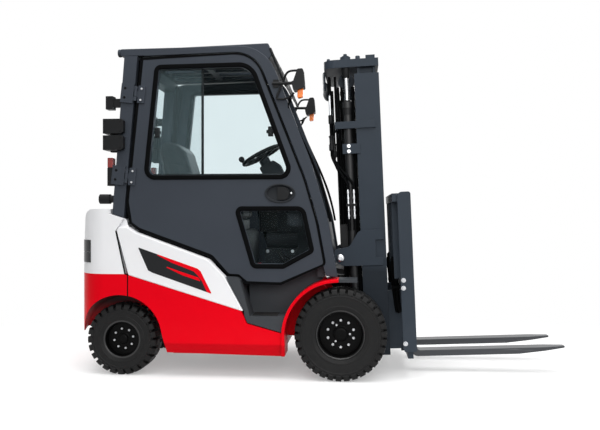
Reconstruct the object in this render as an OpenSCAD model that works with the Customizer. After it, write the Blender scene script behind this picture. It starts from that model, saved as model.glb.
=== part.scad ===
// Four-wheel electric counterbalance forklift with a closed cab.
// Millimetres. +X points to the forks, +Y to the left side, +Z up, and the floor is z = 0.
// Every outline is drawn from the front axle, and the whole truck is then centred over the origin.

/* [Overall] */
// Front axle to rear axle
wheelbase = 1412; // [1380:2:1480]
// Rear axle to the back of the counterweight
tail_overhang = 300; // [297:1:340]
// Width over the side panels
body_w = 1070; // [1060:2:1100]
// How far a closed door lies inside the body's side
cab_inset = 50; // [44:1:60]
// Height of the roof's front corner
cab_h = 2140; // [2100:5:2240]
// Thickness of the doors
door_t = 38; // [30:1:44]
// Thickness of the window glass
glass_t = 6; // [4:1:8]

/* [Wheels] */
// Diameter of the front tyres
front_tyre_d = 577; // [560:1:590]
// Width of the front tyres
front_tyre_w = 205; // [180:1:212]
// Distance between the front tyres' middles
front_track = 919; // [912:1:940]
// Radius of the front rims' flanges
front_rim_r = 152; // [140:1:165]
// Diameter of the rear tyres
rear_tyre_d = 460; // [444:1:462]
// Width of the rear tyres
rear_tyre_w = 160; // [140:1:164]
// Distance between the rear tyres' middles, steered straight
rear_track = 840; // [820:1:860]
// Radius of the rear rims' flanges
rear_rim_r = 120; // [108:1:128]
// Kingpin to the middle of the rear tyre
kingpin_offset = 80; // [78:1:84]
// Angle that the rear wheels stand steered to
steer_angle = 0; // [0:1:30]
// Lugs round each shoulder of a front tyre
front_lugs = 28; // [16:1:32]
// Lugs round each shoulder of a rear tyre
rear_lugs = 24; // [16:1:28]
// Depth of the gaps between lugs
lug_depth = 20; // [10:1:24]
// Width of the gaps between lugs
lug_gap = 13; // [8:1:16]
// Reach of the gaps in from the tyre's side
lug_reach = 52; // [30:1:56]

/* [Mast] */
// Width over the outer mast rails
mast_w = 650; // [640:1:660]
// Depth of an outer rail, front to back
rail_depth = 160; // [150:1:164]
// Length of the outer rails
rail_len = 1835; // [1800:5:1900]
// Angle that the mast stands leaning back
mast_lean = 2.4; // [0:0.1:3]
// Width of the fork carriage and backrest
carriage_w = 940; // [900:5:1000]
// Top of the backrest above the front axle
backrest_top = 874; // [800:1:1000]
// Length of the fork blades
fork_len = 955; // [900:5:1200]
// Width of a fork blade
fork_w = 100; // [80:1:120]
// Thickness of a fork at its heel
fork_t = 40; // [35:1:45]
// Distance between the fork blades' middles
fork_spacing = 372; // [300:2:600]

/* [Hidden] */
$fn = 48;

// Colours
red = [0.85, 0.03, 0.06];
white = [0.92, 0.92, 0.93];
slate = [0.23, 0.25, 0.28];
charcoal = [0.11, 0.12, 0.13];
black = [0.05, 0.05, 0.05];
steel = [0.75, 0.76, 0.78];
tint = [0.62, 0.75, 0.74, 0.4];

// Clearances: a seat between pieces of one body, and a shaft in its bore
seat_gap = 0.3;
run_gap = 0.05;

// Stations along the truck, from the front axle
axle_x = -wheelbase;
rx = axle_x + 37;
tail_x = axle_x - tail_overhang;
axle_z = front_tyre_d / 2;
rear_axle_z = rear_tyre_d / 2;

// Half widths
body_h = body_w / 2;
skin_t = 35;
skin_in = body_h - skin_t;
cab_half = body_h - cab_inset;
door_in = cab_half - door_t;
inner_half = door_in - 8;
bay_in = inner_half - 14;

// Front fenders
fender_c = [-12, axle_z - 14];
fender_r = axle_z + 69.5;
fender_x = fender_c[0] - fender_r;
fender_in = front_track / 2 - front_tyre_w / 2 + 15;
fender_out = front_track / 2 + front_tyre_w / 2 - 6;

// Heights
sill_z = 150;
paint_z = 655;
hood_z = 930;
floor_z = 600;
belt_z = 1260;

// Outlines: each corner is [x, z, radius], listed anticlockwise
function unit(v) = v / norm(v);
function flat(q) = [q[0], q[1]];
function fillet(p, q, r, n) =
    q[2] <= 0 ? [flat(q)] :
    let (
        d1 = unit(flat(p) - flat(q)),
        d2 = unit(flat(r) - flat(q)),
        half = acos(max(-1, min(1, d1 * d2))) / 2,
        c = flat(q) + unit(d1 + d2) * q[2] / sin(half),
        s = flat(q) + d1 * q[2] / tan(half) - c,
        e = flat(q) + d2 * q[2] / tan(half) - c,
        a = atan2(s[1], s[0]),
        turn = atan2(s[0] * e[1] - s[1] * e[0], s * e)
    )
    [for (i = [0:n]) c + q[2] * [cos(a + turn * i / n), sin(a + turn * i / n)]];
function rounded(p, n = 5) =
    let (m = len(p))
    [for (i = [0:m - 1]) each fillet(p[(i + m - 1) % m], p[i], p[(i + 1) % m], n)];
// The same outline grown outward by d, or shrunk where d is negative
function grown(p, d) =
    let (m = len(p))
    [for (i = [0:m - 1])
        let (
            q = p[i],
            e1 = unit(flat(q) - flat(p[(i + m - 1) % m])),
            e2 = unit(flat(p[(i + 1) % m]) - flat(q)),
            n1 = [e1[1], -e1[0]],
            n2 = [e2[1], -e2[0]],
            t = e1[0] * e2[1] - e1[1] * e2[0],
            v = flat(q) + (n1 + n2) * d / (1 + n1 * n2)
        )
        [v[0], v[1], max(0, q[2] + (t > 0 ? d : -d))]];

// A side outline as a plate from y0 to y1, a plan outline from z0 to z1, and a box by its corners
module plate(p, y0, y1) translate([0, y1, 0]) rotate([90, 0, 0]) linear_extrude(y1 - y0) polygon(p);
module slab(p, z0, z1) translate([0, 0, z0]) linear_extrude(z1 - z0) polygon(p);
module block(a, b) translate(a) cube(b - a);
module across(x, z, r, y0, y1) translate([x, y1, z]) rotate([90, 0, 0]) cylinder(r = r, h = y1 - y0);
module upright(x, y, r, z0, z1) translate([x, y, z0]) cylinder(r = r, h = z1 - z0);
module pair() {
    children();
    mirror([0, 1, 0]) children();
}

// Door and windows
door_edge = [
    [rx - 11, 1120, 150],
    [rx + 12, 975, 30],
    [rx + 70, 934, 50],
    [-832, 764, 60],
    [-714, 651, 30],
    [-648, 648, 20],
    [-604, 594, 20],
    [-378, 588, 30],
    [-100, 722, 25],
    [-152, 1000, 900],
    [-228, 1260, 900],
    [-548, cab_h - 73, 190],
    [rx + 88, cab_h - 90, 22]
];
window_edge = [
    [rx + 103, belt_z, 70],
    [-286, belt_z, 70],
    [-560, cab_h - 134, 130],
    [rx + 180, cab_h - 141, 45]
];
low_window_edge = [
    [-566, 693, 45],
    [-360, 693, 40],
    [-165, 800, 35],
    [-228, 1088, 60],
    [-682, 1088, 40]
];
seal_w = 30;

// Roof rail and front pillar as one bent leg
rail_edge = [
    [-92, 648, 0],
    [-20, 640, 0],
    [-82, 1010, 900],
    [-190, 1375, 900],
    [-478, cab_h - 28, 250],
    [rx - 47, cab_h - 34, 6],
    [rx - 47, cab_h - 80, 0],
    [rx + 100, cab_h - 80, 0],
    [-600, cab_h - 140, 0],
    [-200, 1000, 0]
];

// Rear pillar, leaning forward
pillar_edge = [
    [rx - 102, 1040, 0],
    [rx - 27, 1012, 0],
    [rx + 64, cab_h - 80, 0],
    [rx - 22, cab_h - 80, 0]
];

// Wheel arch over the steered wheels, seen from the side
arch_r = 277;
arch_z = 244;
sweep_r = 288;
kingpin_y = rear_track / 2 - kingpin_offset;

// Mast stations, from the front axle's middle and upright; the whole mast then leans back
mast_half = mast_w / 2;
rail_front = 312;
rail_back = rail_front - rail_depth;
rail_foot = -175;
rail_top = rail_foot + rail_len;
web_t = 14;
flange_t = 16;
flange_w = 48;
inner_back = rail_back + flange_t + 5;
inner_front = rail_front - flange_t - 5;
inner_out = mast_half - web_t - 7;
inner_in = inner_out - 51;
yoke_z = rail_top + 45;
yoke_t = 52;
lift_x = 98;
sheave_r = 54;
chain_t = 14;
lift_y = mast_half - 35;
axle_r = 62;
lug_in = lift_y - 58;
bar_back = 415;
bar_front = 450;
blade_z = -208;
carriage_half = carriage_w / 2;
module leaning() translate([0, 0, axle_z]) rotate([0, -mast_lean, 0]) children();

// Tilt cylinder: its pin on the mast, and its pin on the chassis
tilt_u = 13.5;
tilt_w = 465;
tilt_pin = [
    tilt_u * cos(mast_lean) - tilt_w * sin(mast_lean),
    axle_z + tilt_u * sin(mast_lean) + tilt_w * cos(mast_lean)
];
tilt_foot = [-420, 560];
tilt_y = mast_half - 25;
tilt_len = norm(tilt_pin - tilt_foot);
tilt_rise = atan2(tilt_pin[1] - tilt_foot[1], tilt_pin[0] - tilt_foot[0]);

// The truck's middle along X, from the fork tips to the tail
fork_tip_u = bar_front + fork_t + fork_len;
front_x = fork_tip_u * cos(mast_lean) - (blade_z + fork_t - 10) * sin(mast_lean);
mid_x = (front_x + tail_x) / 2;
module truck() translate([-mid_x, 0, 0]) children();

// Body
module chassis() color(red) {
    pair() difference() {
        intersection() {
            plate(rounded([
                [axle_x + 308, sill_z + 8, 0],
                [fender_x - 2, sill_z - 4, 0],
                [fender_x - 2, 290, 0],
                [-590, 350, 15],
                [-608, 395, 0],
                [-625, 428, 0],
                [rx + 20, paint_z - 7, 0],
                [rx + 20, 300, 0],
                [axle_x + 270, 300, 0]
            ]), skin_in, body_h);
            translate([-2000, 0, 0]) rotate([90, 0, 90]) linear_extrude(2000)
                polygon([[skin_in, 100], [skin_in + 12, 100], [body_h, 225], [body_h, 800], [skin_in, 800]]);
        }
        across(axle_x, arch_z, arch_r, skin_in - 5, body_h + 5);
    }
    block([rx + 305, -skin_in, sill_z], [fender_x - 2, skin_in, sill_z + 16]);
    block([rx + 305, -skin_in, sill_z], [rx + 321, skin_in, 480]);
    block([fender_x - 18, -skin_in, sill_z], [fender_x - 2, skin_in, 286]);
    block([fender_x - 18, -well_in + 5, 200], [fender_x - 2, well_in - 5, 500]);
    block([-460, -well_in + seat_gap, 440], [fender_x - 2, well_in - seat_gap, 500]);
    pair() {
        difference() {
            union() {
                plate([[fender_x - 18, 230], [0, axle_z - 100], [0, axle_z + 100], [-130, 590], [fender_x - 18, 500]], 205, 225);
                across(0, axle_z, 100, 205, 225);
            }
            across(0, axle_z, axle_r + seat_gap, 200, 230);
        }
        for (y = [tilt_y - 36, tilt_y + 20]) {
            plate([[-455, 490], [-385, 490], [-388, 572], [-452, 572]], y, y + 16);
            across(tilt_foot[0], tilt_foot[1], 32, y, y + 16);
        }
        across(tilt_foot[0], tilt_foot[1], 14, tilt_y - 36, tilt_y + 36);
        block([axle_x - 66, 60, 330], [rx + 321, 95, 470]);
        block([axle_x - 66, 60, 469], [rx + 10, 95, 480 - seat_gap]);
        block([rx + 305, bay_in, sill_z], [-640, bay_in + 22, 660 - seat_gap]);
    }
    block([-150, -225, 560], [-128, 225, 600]);
    for (x = [axle_x - 66, axle_x + 50]) difference() {
        block([x, -70, 190], [x + 16, 70, 331]);
        translate([x - 5, 0, rear_axle_z]) rotate([0, 90, 0]) cylinder(r = 30 + seat_gap, h = 30);
    }
}

module tail_body(z0, z1, front) intersection() {
    slab(rounded([
        [tail_x, -body_h, 200],
        [rx + 100, -body_h, 0],
        [rx + 100, body_h, 0],
        [tail_x, body_h, 200]
    ], 8), z0, z1);
    plate(rounded(concat([
        [tail_x + 20, 270, 12],
        [rx + 60, 270, 0]
    ], front, [
        [rx - 104, 1072, 0],
        [tail_x + 48, 1072, 70],
        [tail_x + 37, 930, 300],
        [tail_x + 22, 725, 300],
        [tail_x, 550, 200],
        [tail_x, 440, 200],
        [tail_x + 12, 350, 0]
    ])), -body_h - 1, body_h + 1);
}
module counterweight() color(red) difference() {
    tail_body(200, paint_z - seat_gap, [[rx + 60, 900, 0]]);
    block([rx + 14, -700, 0], [rx + 200, 700, 800]);
    pair() {
        translate([axle_x, kingpin_y, rear_axle_z]) sphere(r = sweep_r);
        across(axle_x, arch_z, arch_r, kingpin_y, 700);
        block([axle_x - arch_r, kingpin_y, 100], [axle_x + arch_r, 700, arch_z]);
    }
    block([axle_x - 80, -125, 100], [rx + 200, 125, 480]);
    block([tail_x - 50, -45, 395], [tail_x + 95, 45, 475]);
    block([tail_x - 50, -45, 535], [tail_x + 95, 45, 600]);
    upright(tail_x + 48, 0, 16, 200, 560);
}
module rear_cover() color(white) difference() {
    tail_body(paint_z, 1200, [[rx + 60, 600, 0], [rx - 2, paint_z, 0], [rx - 64, 930, 0], [rx - 13, 1010, 0], [rx - 104, 1038, 0]]);
    block([rx - 130, -skin_in, 940], [rx + 100, skin_in, 1200]);
}
module side_panels() color(white) pair() plate(rounded([
    [rx + 20, paint_z - 6.7, 0],
    [-625, 428.3, 0],
    [-612, 428.3, 0],
    [-729, 641, 20],
    [-838, 751, 60],
    [rx + 66, 921, 40],
    [rx + 12, 955, 20],
    [rx - 44, 955, 0],
    [rx - 58, 933, 0]
]), inner_half + 15, body_h);
module front_fenders() color(red) pair() difference() {
    union() {
        intersection() {
            across(fender_c[0], fender_c[1], fender_r, fender_in, fender_out);
            block([-900, 300, 270], [fender_c[0], 700, 900]);
        }
        block([fender_x, fender_in, sill_z], [fender_x + 24, fender_out, 271]);
    }
    across(fender_c[0], fender_c[1], fender_r - 20, 300, 700);
    block([fender_x + 24, 300, 100], [fender_x + 80, 700, 280]);
}
well_in = min(fender_in - 27, inner_half - 70);
well_t = 24;
tread_z = 396;
module clear_of_fender() across(fender_c[0], fender_c[1], fender_r + seat_gap, 300, 700);
module step_wells() color(charcoal) pair() {
    difference() {
        union() {
            plate([
                [-592, tread_z - 30],
                [-300, tread_z - 30],
                [-120, 500],
                [-120, 780],
                [-150, 787],
                [-470, floor_z - 14 - seat_gap],
                [-600, floor_z - 14 - seat_gap]
            ], well_in, well_in + well_t);
            plate([[-592, tread_z - 30], [-300, tread_z - 30], [-300, tread_z], [-592, tread_z]], well_in, body_h - 30);
            plate(rounded([
                [-586, 356, 0],
                [-380, 299, 0],
                [-300, 299, 0],
                [-300, tread_z, 0],
                [-603, tread_z, 0],
                [-602, 392, 0]
            ]), skin_in - 30, body_h - 3);
        }
        clear_of_fender();
    }
    block([-150, well_in + well_t - 1, 636], [-104, cab_half - 61, 735]);
    plate([[-592, tread_z - 1], [-570, tread_z - 1], [-628, 582], [-637, 582]], well_in + 1, inner_half + 20);
    plate(rounded([
        [-603, tread_z - 1, 0],
        [-570, tread_z - 1, 0],
        [-634, 625, 12],
        [-652, 639, 0],
        [-722, 643, 0],
        [-607, 430, 0]
    ]), inner_half + 16, body_h - 3);
    block([fender_c[0] + seat_gap, fender_in, fender_c[1] + fender_r - 18], [104, fender_out - 10, fender_c[1] + fender_r]);
}
module battery() color(black) block([rx + 322, -bay_in + 1, sill_z + 16], [-642, bay_in - 1, 640]);
hood_edge = [
    [rx + 40, 660, 0],
    [-660, 660, 0],
    [-652, hood_z, 50],
    [rx + 30, hood_z, 20]
];
module battery_hood() color(charcoal) difference() {
    plate(rounded(hood_edge), -inner_half, inner_half);
    plate(rounded(concat([[rx + 60, 600, 0], [-680, 600, 0]], [for (i = [2:3]) grown(hood_edge, -12)[i]])), -inner_half + 12, inner_half - 12);
}
module floor_plate() color(black) plate([
    [-638, floor_z - 14],
    [-470, floor_z - 14],
    [-130, 800],
    [-130, 816],
    [-476, floor_z],
    [-638, floor_z]
], -inner_half, inner_half);
module cowl() color(slate) difference() {
    plate([[-88, 650], [-38, 650], [-98, 1005], [-150, 1005]], -cab_half + 60 + seat_gap, cab_half - 60 - seat_gap);
    pair() block([-300, tilt_y - 48, 600], [100, tilt_y + 58, 850]);
}
module dash() color(charcoal) {
    plate(rounded([
        [-345, 960, 40],
        [-155, 960, 0],
        [-185, 1130, 0],
        [-250, 1180, 30],
        [-345, 1090, 30]
    ]), -inner_half + 20, inner_half - 20);
    plate([[-310, 704], [-210, 766.4], [-210, 970], [-310, 970]], -45, 45);
    plate(rounded([
        [-556, floor_z + seat_gap, 0],
        [-476, floor_z + seat_gap, 0],
        [-300, 710.5, 0],
        [-300, 796, 0],
        [-556, 796, 12]
    ]), 40, 185);
    translate([-545, 118, 854]) rotate([0, 90, 0]) cylinder(r = 62, h = 240);
    translate(wheel_c) rotate([0, -28, 0]) {
        translate([0, 0, -530]) cylinder(r = 38, h = 495);
        translate([0, 58, 0]) rotate([90, 0, 0]) linear_extrude(116) polygon(rounded([
            [-52, -76, 14],
            [-44, -330, 0],
            [74, -330, 0],
            [86, -120, 40],
            [60, -76, 20]
        ]));
        translate([0, 0, -60]) cylinder(r = 14 - run_gap, h = 58);
    }
}
wheel_c = [-572, 0, 1455];
module steering_wheel() color(black) translate(wheel_c) rotate([0, -28, 0]) {
    rotate_extrude() translate([140, 0]) circle(r = 13, $fn = 20);
    difference() {
        union() {
            translate([0, 0, -30]) cylinder(r = 42, h = 40);
            for (a = [90, 210, 330]) rotate([0, 0, a]) block([20, -12, -8], [138, 12, 6]);
        }
        translate([0, 0, -31]) cylinder(r = 14, h = 30);
    }
    translate([-140, 0, 8]) cylinder(r = 20, h = 45);
}
module seat_base() color(black) block([-1130, -200, hood_z], [-690, 200, 1000]);
module seat() color(charcoal) {
    plate(rounded([[-1160, 1000.3, 20], [-660, 1000.3, 30], [-640, 1085, 40], [-1040, 1075, 60], [-1145, 1085, 10]]), -240, 240);
    plate(rounded([[-1150, 1086, 20], [-1055, 1077, 40], [-1125, 1530, 60], [-1265, 1545, 50]]), -225, 225);
}

module controls() color(charcoal) {
    plate(rounded([[-1010, 1150, 20], [-700, 1150, 30], [-700, 1215, 30], [-1010, 1205, 20]]), -335, -262);
    block([-930, -320, hood_z + seat_gap], [-860, -280, 1160]);
    for (x = [-780, -750, -720]) translate([x, -298, 1200]) cylinder(r = 9, h = 60, $fn = 24);
}

// Cab
module cab_rear_frame() color(slate) {
    pair() {
        plate(rounded(pillar_edge), cab_half - 60, cab_half);
        at_hinges() {
            translate([0, 0, -45]) cylinder(r = 6, h = 90, $fn = 32);
            for (z = [-45, 19]) translate([0, 0, z]) {
                cylinder(r = 10, h = 26, $fn = 32);
                block([-60, -12.5, 0], [-4, 0, 26]);
            }
            block([-98, -12.5, -62], [-14, 0, 62]);
        }
    }
    intersection() {
        plate(rounded(pillar_edge), -cab_half, cab_half);
        union() {
            block([rx - 300, -cab_half, 1000], [rx + 300, cab_half, 1130]);
            block([rx - 300, -cab_half, cab_h - 150], [rx + 300, cab_half, cab_h]);
        }
    }
}
module guard_rails() color(slate) pair() difference() {
    plate(rounded(rail_edge), cab_half - 60, cab_half);
    plate(rounded(grown(door_edge, 7)), cab_half - 70, cab_half + 10);
}
module roof_panel() color(slate) difference() {
    plate([
        [rx - 40, cab_h - 76],
        [-560, cab_h - 62],
        [-480, cab_h - 130],
        [-440, cab_h - 70],
        [-468, cab_h],
        [rx - 20, cab_h - 26],
        [rx - 40, cab_h - 40]
    ], -cab_half + 60, cab_half - 60);
    for (y = [-325:130:325]) {
        block([rx + 90, y - 43, cab_h - 150], [rx + 400, y + 43, cab_h + 10]);
        block([rx + 450, y - 43, cab_h - 150], [-610, y + 43, cab_h + 10]);
    }
}
screen_t = glass_t * 1.1;
module cab_glass() color(tint) {
    plate([
        [-104 - screen_t, 1005 + seat_gap],
        [-104, 1005 + seat_gap],
        [-232, 1375],
        [-464, cab_h - 130],
        [-464 - screen_t, cab_h - 130],
        [-232 - screen_t, 1375]
    ], -cab_half + 60 + seat_gap, cab_half - 60 - seat_gap);
    intersection() {
        plate([
            [rx - 62, 1130.3],
            [rx - 62 + glass_t, 1130.3],
            [rx + 26, cab_h - 150.3],
            [rx + 26 - glass_t, cab_h - 150.3]
        ], -cab_half + 60.3, cab_half - 60.3);
        block([rx - 300, -cab_half, 1000], [rx + 300, cab_half, cab_h]);
    }
}
hinge_lean = 6.47;
stack = (cab_h - 1120) / 1020;
hinge_y = cab_half + 12;
module at_hinges() for (z = [1040 + 244 * stack, 1040 + 773 * stack])
    translate([rx - 4 + (z - 1284) * tan(hinge_lean), hinge_y, z]) rotate([0, hinge_lean, 0]) children();
function oval(x, z, a, b, n = 28) = [for (i = [0:n - 1]) [x + a * cos(360 * i / n), z + b * sin(360 * i / n)]];
module door_shell() difference() {
    union() {
        plate(rounded(door_edge), door_in, cab_half);
        plate(oval(-384, 1170, 96, 60), cab_half - 2, cab_half + 5);
        at_hinges() {
            translate([0, 0, -18]) cylinder(r = 10, h = 36, $fn = 32);
            block([6, -6, -18], [20, -2, 18]);
            block([14, -12.5, -56], [60, -2, 56]);
        }
    }
    plate(rounded(grown(window_edge, -seal_w)), door_in - 10, cab_half + 10);
    plate(rounded(grown(low_window_edge, -seal_w)), door_in - 10, cab_half + 10);
    plate(oval(-384, 1170, 84, 50), cab_half - 16, cab_half + 10);
    at_hinges() translate([0, 0, -60]) cylinder(r = 6 + run_gap, h = 120, $fn = 32);
}
module door_panes() {
    translate([0, (door_in + cab_half - glass_t) / 2, 0]) {
        plate(rounded(grown(window_edge, -seal_w - seat_gap)), 0, glass_t);
        plate(rounded(grown(low_window_edge, -seal_w - seat_gap)), 0, glass_t);
    }
}
module door_left() color(slate) door_shell();
module door_right() color(slate) mirror([0, 1, 0]) door_shell();
module door_glass_left() color(tint) door_panes();
module door_glass_right() color(tint) mirror([0, 1, 0]) door_panes();

// Lamps
lamp_z = cab_h - 335;
function pillar_back(z) = rx - 102 + (z - 1040) * 80 / (cab_h - 1120);
function arm_x(z) = -190 - (z - 1375) * 288 / (cab_h - 1403);
module headlamps() color(black) pair() {
    difference() {
        plate(rounded([
            [-292, lamp_z, 10],
            [-222, lamp_z + 22, 12],
            [-232, lamp_z + 140, 12],
            [-268, lamp_z + 138, 12],
            [-302, lamp_z + 40, 20]
        ]), cab_half - 8, cab_half + 72);
        plate([[-234.8, lamp_z + 34.5], [-200, lamp_z + 34.5], [-200, lamp_z + 127.5], [-242.8, lamp_z + 127.5]], cab_half + 2, cab_half + 62);
    }
    translate([arm_x(lamp_z + 60) - 50, cab_half + 10 + seat_gap, lamp_z + 60]) rotate([0, 90, 0]) cylinder(r = 10, h = -292 - arm_x(lamp_z + 60) + 50, $fn = 24);
    translate([-300, cab_half + 10 + seat_gap, lamp_z + 60]) rotate([-90, 0, 0]) cylinder(r = 10, h = 25, $fn = 24);
    block([arm_x(lamp_z + 60) - 46, cab_half + seat_gap, lamp_z + 35], [arm_x(lamp_z + 60) - 10, cab_half + 8, lamp_z + 85]);
}
module turn_lamps() color([1, 0.5, 0.05]) pair() plate(rounded([
    [-270, lamp_z - 42, 8],
    [-236, lamp_z - 36, 8],
    [-232, lamp_z + 18.5, 0],
    [-268, lamp_z + 7.2, 0]
]), cab_half + 10, cab_half + 54);
module lamp_lenses() color([0.9, 0.93, 0.95]) pair() plate([
    [-234.5, lamp_z + 35],
    [-229, lamp_z + 35],
    [-237, lamp_z + 127],
    [-242.5, lamp_z + 127]
], cab_half + 3, cab_half + 61);
work_z = 1040 + 678 * stack;
box_z = 1040 + 410 * stack;
stop_z = 1040 + 182 * stack;
reverse_z = 1040 + 97 * stack;
module rear_lamps() color(black) pair() {
    block([rx - 148, cab_half - 60, work_z], [rx - 100, cab_half - 2, work_z + 86 * stack]);
    block(
        [rx - 110, cab_half - 50, work_z + 15 * stack],
        [pillar_back(work_z + 15 * stack) - seat_gap, cab_half - 12, work_z + 70 * stack]
    );
    for (z = [box_z, box_z + 106 * stack]) {
        block([rx - 150, cab_half - 66, z], [rx - 84, cab_half + 2, z + 95 * stack]);
        plate([
            [rx - 150, z],
            [rx - 30, z],
            [rx - 16, z + 12 * stack],
            [rx - 16, z + 83 * stack],
            [rx - 30, z + 95 * stack],
            [rx - 150, z + 95 * stack]
        ], cab_half + seat_gap, cab_half + 42);
    }
    block(
        [rx - 120, cab_half - 50, box_z - 10 * stack],
        [pillar_back(box_z - 10 * stack) - seat_gap, cab_half - 12, box_z + 205 * stack]
    );
    block([rx - 138, cab_half - 55, stop_z], [pillar_back(stop_z) - seat_gap, cab_half - 5, stop_z + 118 * stack]);
    translate([rx - 195, cab_half - 32, reverse_z]) rotate([0, 90, 0]) cylinder(r = 32, h = 70);
    translate([rx - 135, cab_half - 32, reverse_z]) rotate([0, 90, 0])
        cylinder(r = 24, h = 135 + pillar_back(reverse_z - 24) - rx - seat_gap);
}
module tail_lamps() color([0.75, 0.03, 0.03]) pair()
    block([rx - 138, cab_half - 55, stop_z + 118 * stack + seat_gap], [rx - 100, cab_half - 5, stop_z + 183 * stack]);

// Running gear
module front_axle() color(charcoal) {
    across(0, axle_z, axle_r, -350, 350);
    across(0, axle_z, 45, -430, 430);
    block([-110, -110, axle_z - 90], [110, 110, axle_z + 110]);
    pair() across(0, axle_z, 105, mast_half, front_track / 2 - front_tyre_w / 2 - 5);
}
module tyre(d, w, rim, lugs) rotate([90, 0, 0]) difference() {
    rotate_extrude($fn = 64) polygon([
        [rim, -w / 2 + 14],
        [rim + 22, -w / 2 + 4],
        [d / 2 - 70, -w / 2],
        [d / 2 - 24, -w / 2 + 3],
        [d / 2, -w / 2 + 20],
        [d / 2, w / 2 - 20],
        [d / 2 - 24, w / 2 - 3],
        [d / 2 - 70, w / 2],
        [rim + 22, w / 2 - 4],
        [rim, w / 2 - 14]
    ]);
    for (i = [0:lugs - 1]) for (side = [-1, 1])
        rotate([0, 0, (i + (side > 0 ? 0.5 : 0)) * 360 / lugs - 90 + 90 / lugs])
            translate([d / 2 - lug_depth, -lug_gap / 2, side > 0 ? w / 2 - lug_reach : -w / 2 - 5])
                cube([lug_depth + 20, lug_gap, lug_reach + 5]);
}
module front_rim() rotate([90, 0, 0]) difference() {
    rotate_extrude() polygon([
        [45 + run_gap, -60],
        [70, -60],
        [70, 5],
        [front_rim_r - 34, 5],
        [front_rim_r - 20, -85],
        [front_rim_r - 0.3, -85],
        [front_rim_r - 0.3, 85],
        [front_rim_r - 14, 85],
        [front_rim_r - 20, 25],
        [45, 25],
        [41, 50],
        [0, 50],
        [0, 0],
        [45 + run_gap, 0]
    ]);
}
module rear_rim() rotate([90, 0, 0]) rotate_extrude() polygon([
    [24 + run_gap, -40],
    [52, -40],
    [52, 10],
    [rear_rim_r - 30, 10],
    [rear_rim_r - 16, -68],
    [rear_rim_r - 0.3, -68],
    [rear_rim_r - 0.3, 68],
    [rear_rim_r - 12, 68],
    [rear_rim_r - 18, 28],
    [34, 28],
    [29, 48],
    [0, 48],
    [0, 12],
    [24 + run_gap, 12]
]);
module at_front(side) translate([0, side * front_track / 2, axle_z]) mirror([0, side > 0 ? 1 : 0, 0]) children();
module at_kingpin(side) translate([axle_x, side * kingpin_y, rear_axle_z]) rotate([0, 0, -steer_angle]) mirror([0, side > 0 ? 1 : 0, 0]) children();
module at_rear(side) at_kingpin(side) translate([0, -kingpin_offset, 0]) children();
module front_rim_right() color(black) at_front(-1) front_rim();
module front_rim_left() color(black) at_front(1) front_rim();
module front_tyre_right() color(black) at_front(-1) tyre(front_tyre_d, front_tyre_w, front_rim_r, front_lugs);
module front_tyre_left() color(black) at_front(1) tyre(front_tyre_d, front_tyre_w, front_rim_r, front_lugs);
module rear_rim_right() color(black) at_rear(-1) rear_rim();
module rear_rim_left() color(black) at_rear(1) rear_rim();
module rear_tyre_right() color(black) at_rear(-1) tyre(rear_tyre_d, rear_tyre_w, rear_rim_r, rear_lugs);
module rear_tyre_left() color(black) at_rear(1) tyre(rear_tyre_d, rear_tyre_w, rear_rim_r, rear_lugs);
module rear_axle() color(charcoal) translate([axle_x, 0, rear_axle_z]) {
    block([-40, -kingpin_y + 60, -42], [40, kingpin_y - 60, 42]);
    translate([-70, 0, 0]) rotate([0, 90, 0]) cylinder(r = 30, h = 140);
    across(0, 66, 26, -100, 100);
    pair() {
        block([-26, kingpin_y - 75, -75], [26, kingpin_y - 50, 75]);
        for (z = [-75, 55]) {
            block([-26, kingpin_y - 75, z], [26, kingpin_y, z + 20]);
            upright(0, kingpin_y, 28, z, z + 20);
        }
        upright(0, kingpin_y, 15, -75, 75);
    }
}
module knuckle() difference() {
    union() {
        translate([0, 0, -54]) cylinder(r = 28, h = 108);
        rotate([90, 0, 0]) cylinder(r = 24, h = kingpin_offset + 8);
        rotate([90, 0, 0]) cylinder(r = 34, h = kingpin_offset - 42);
    }
    translate([0, 0, -80]) cylinder(r = 15 + run_gap, h = 160);
}
module knuckle_right() color(charcoal) at_kingpin(-1) knuckle();
module knuckle_left() color(charcoal) at_kingpin(1) knuckle();

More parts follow.
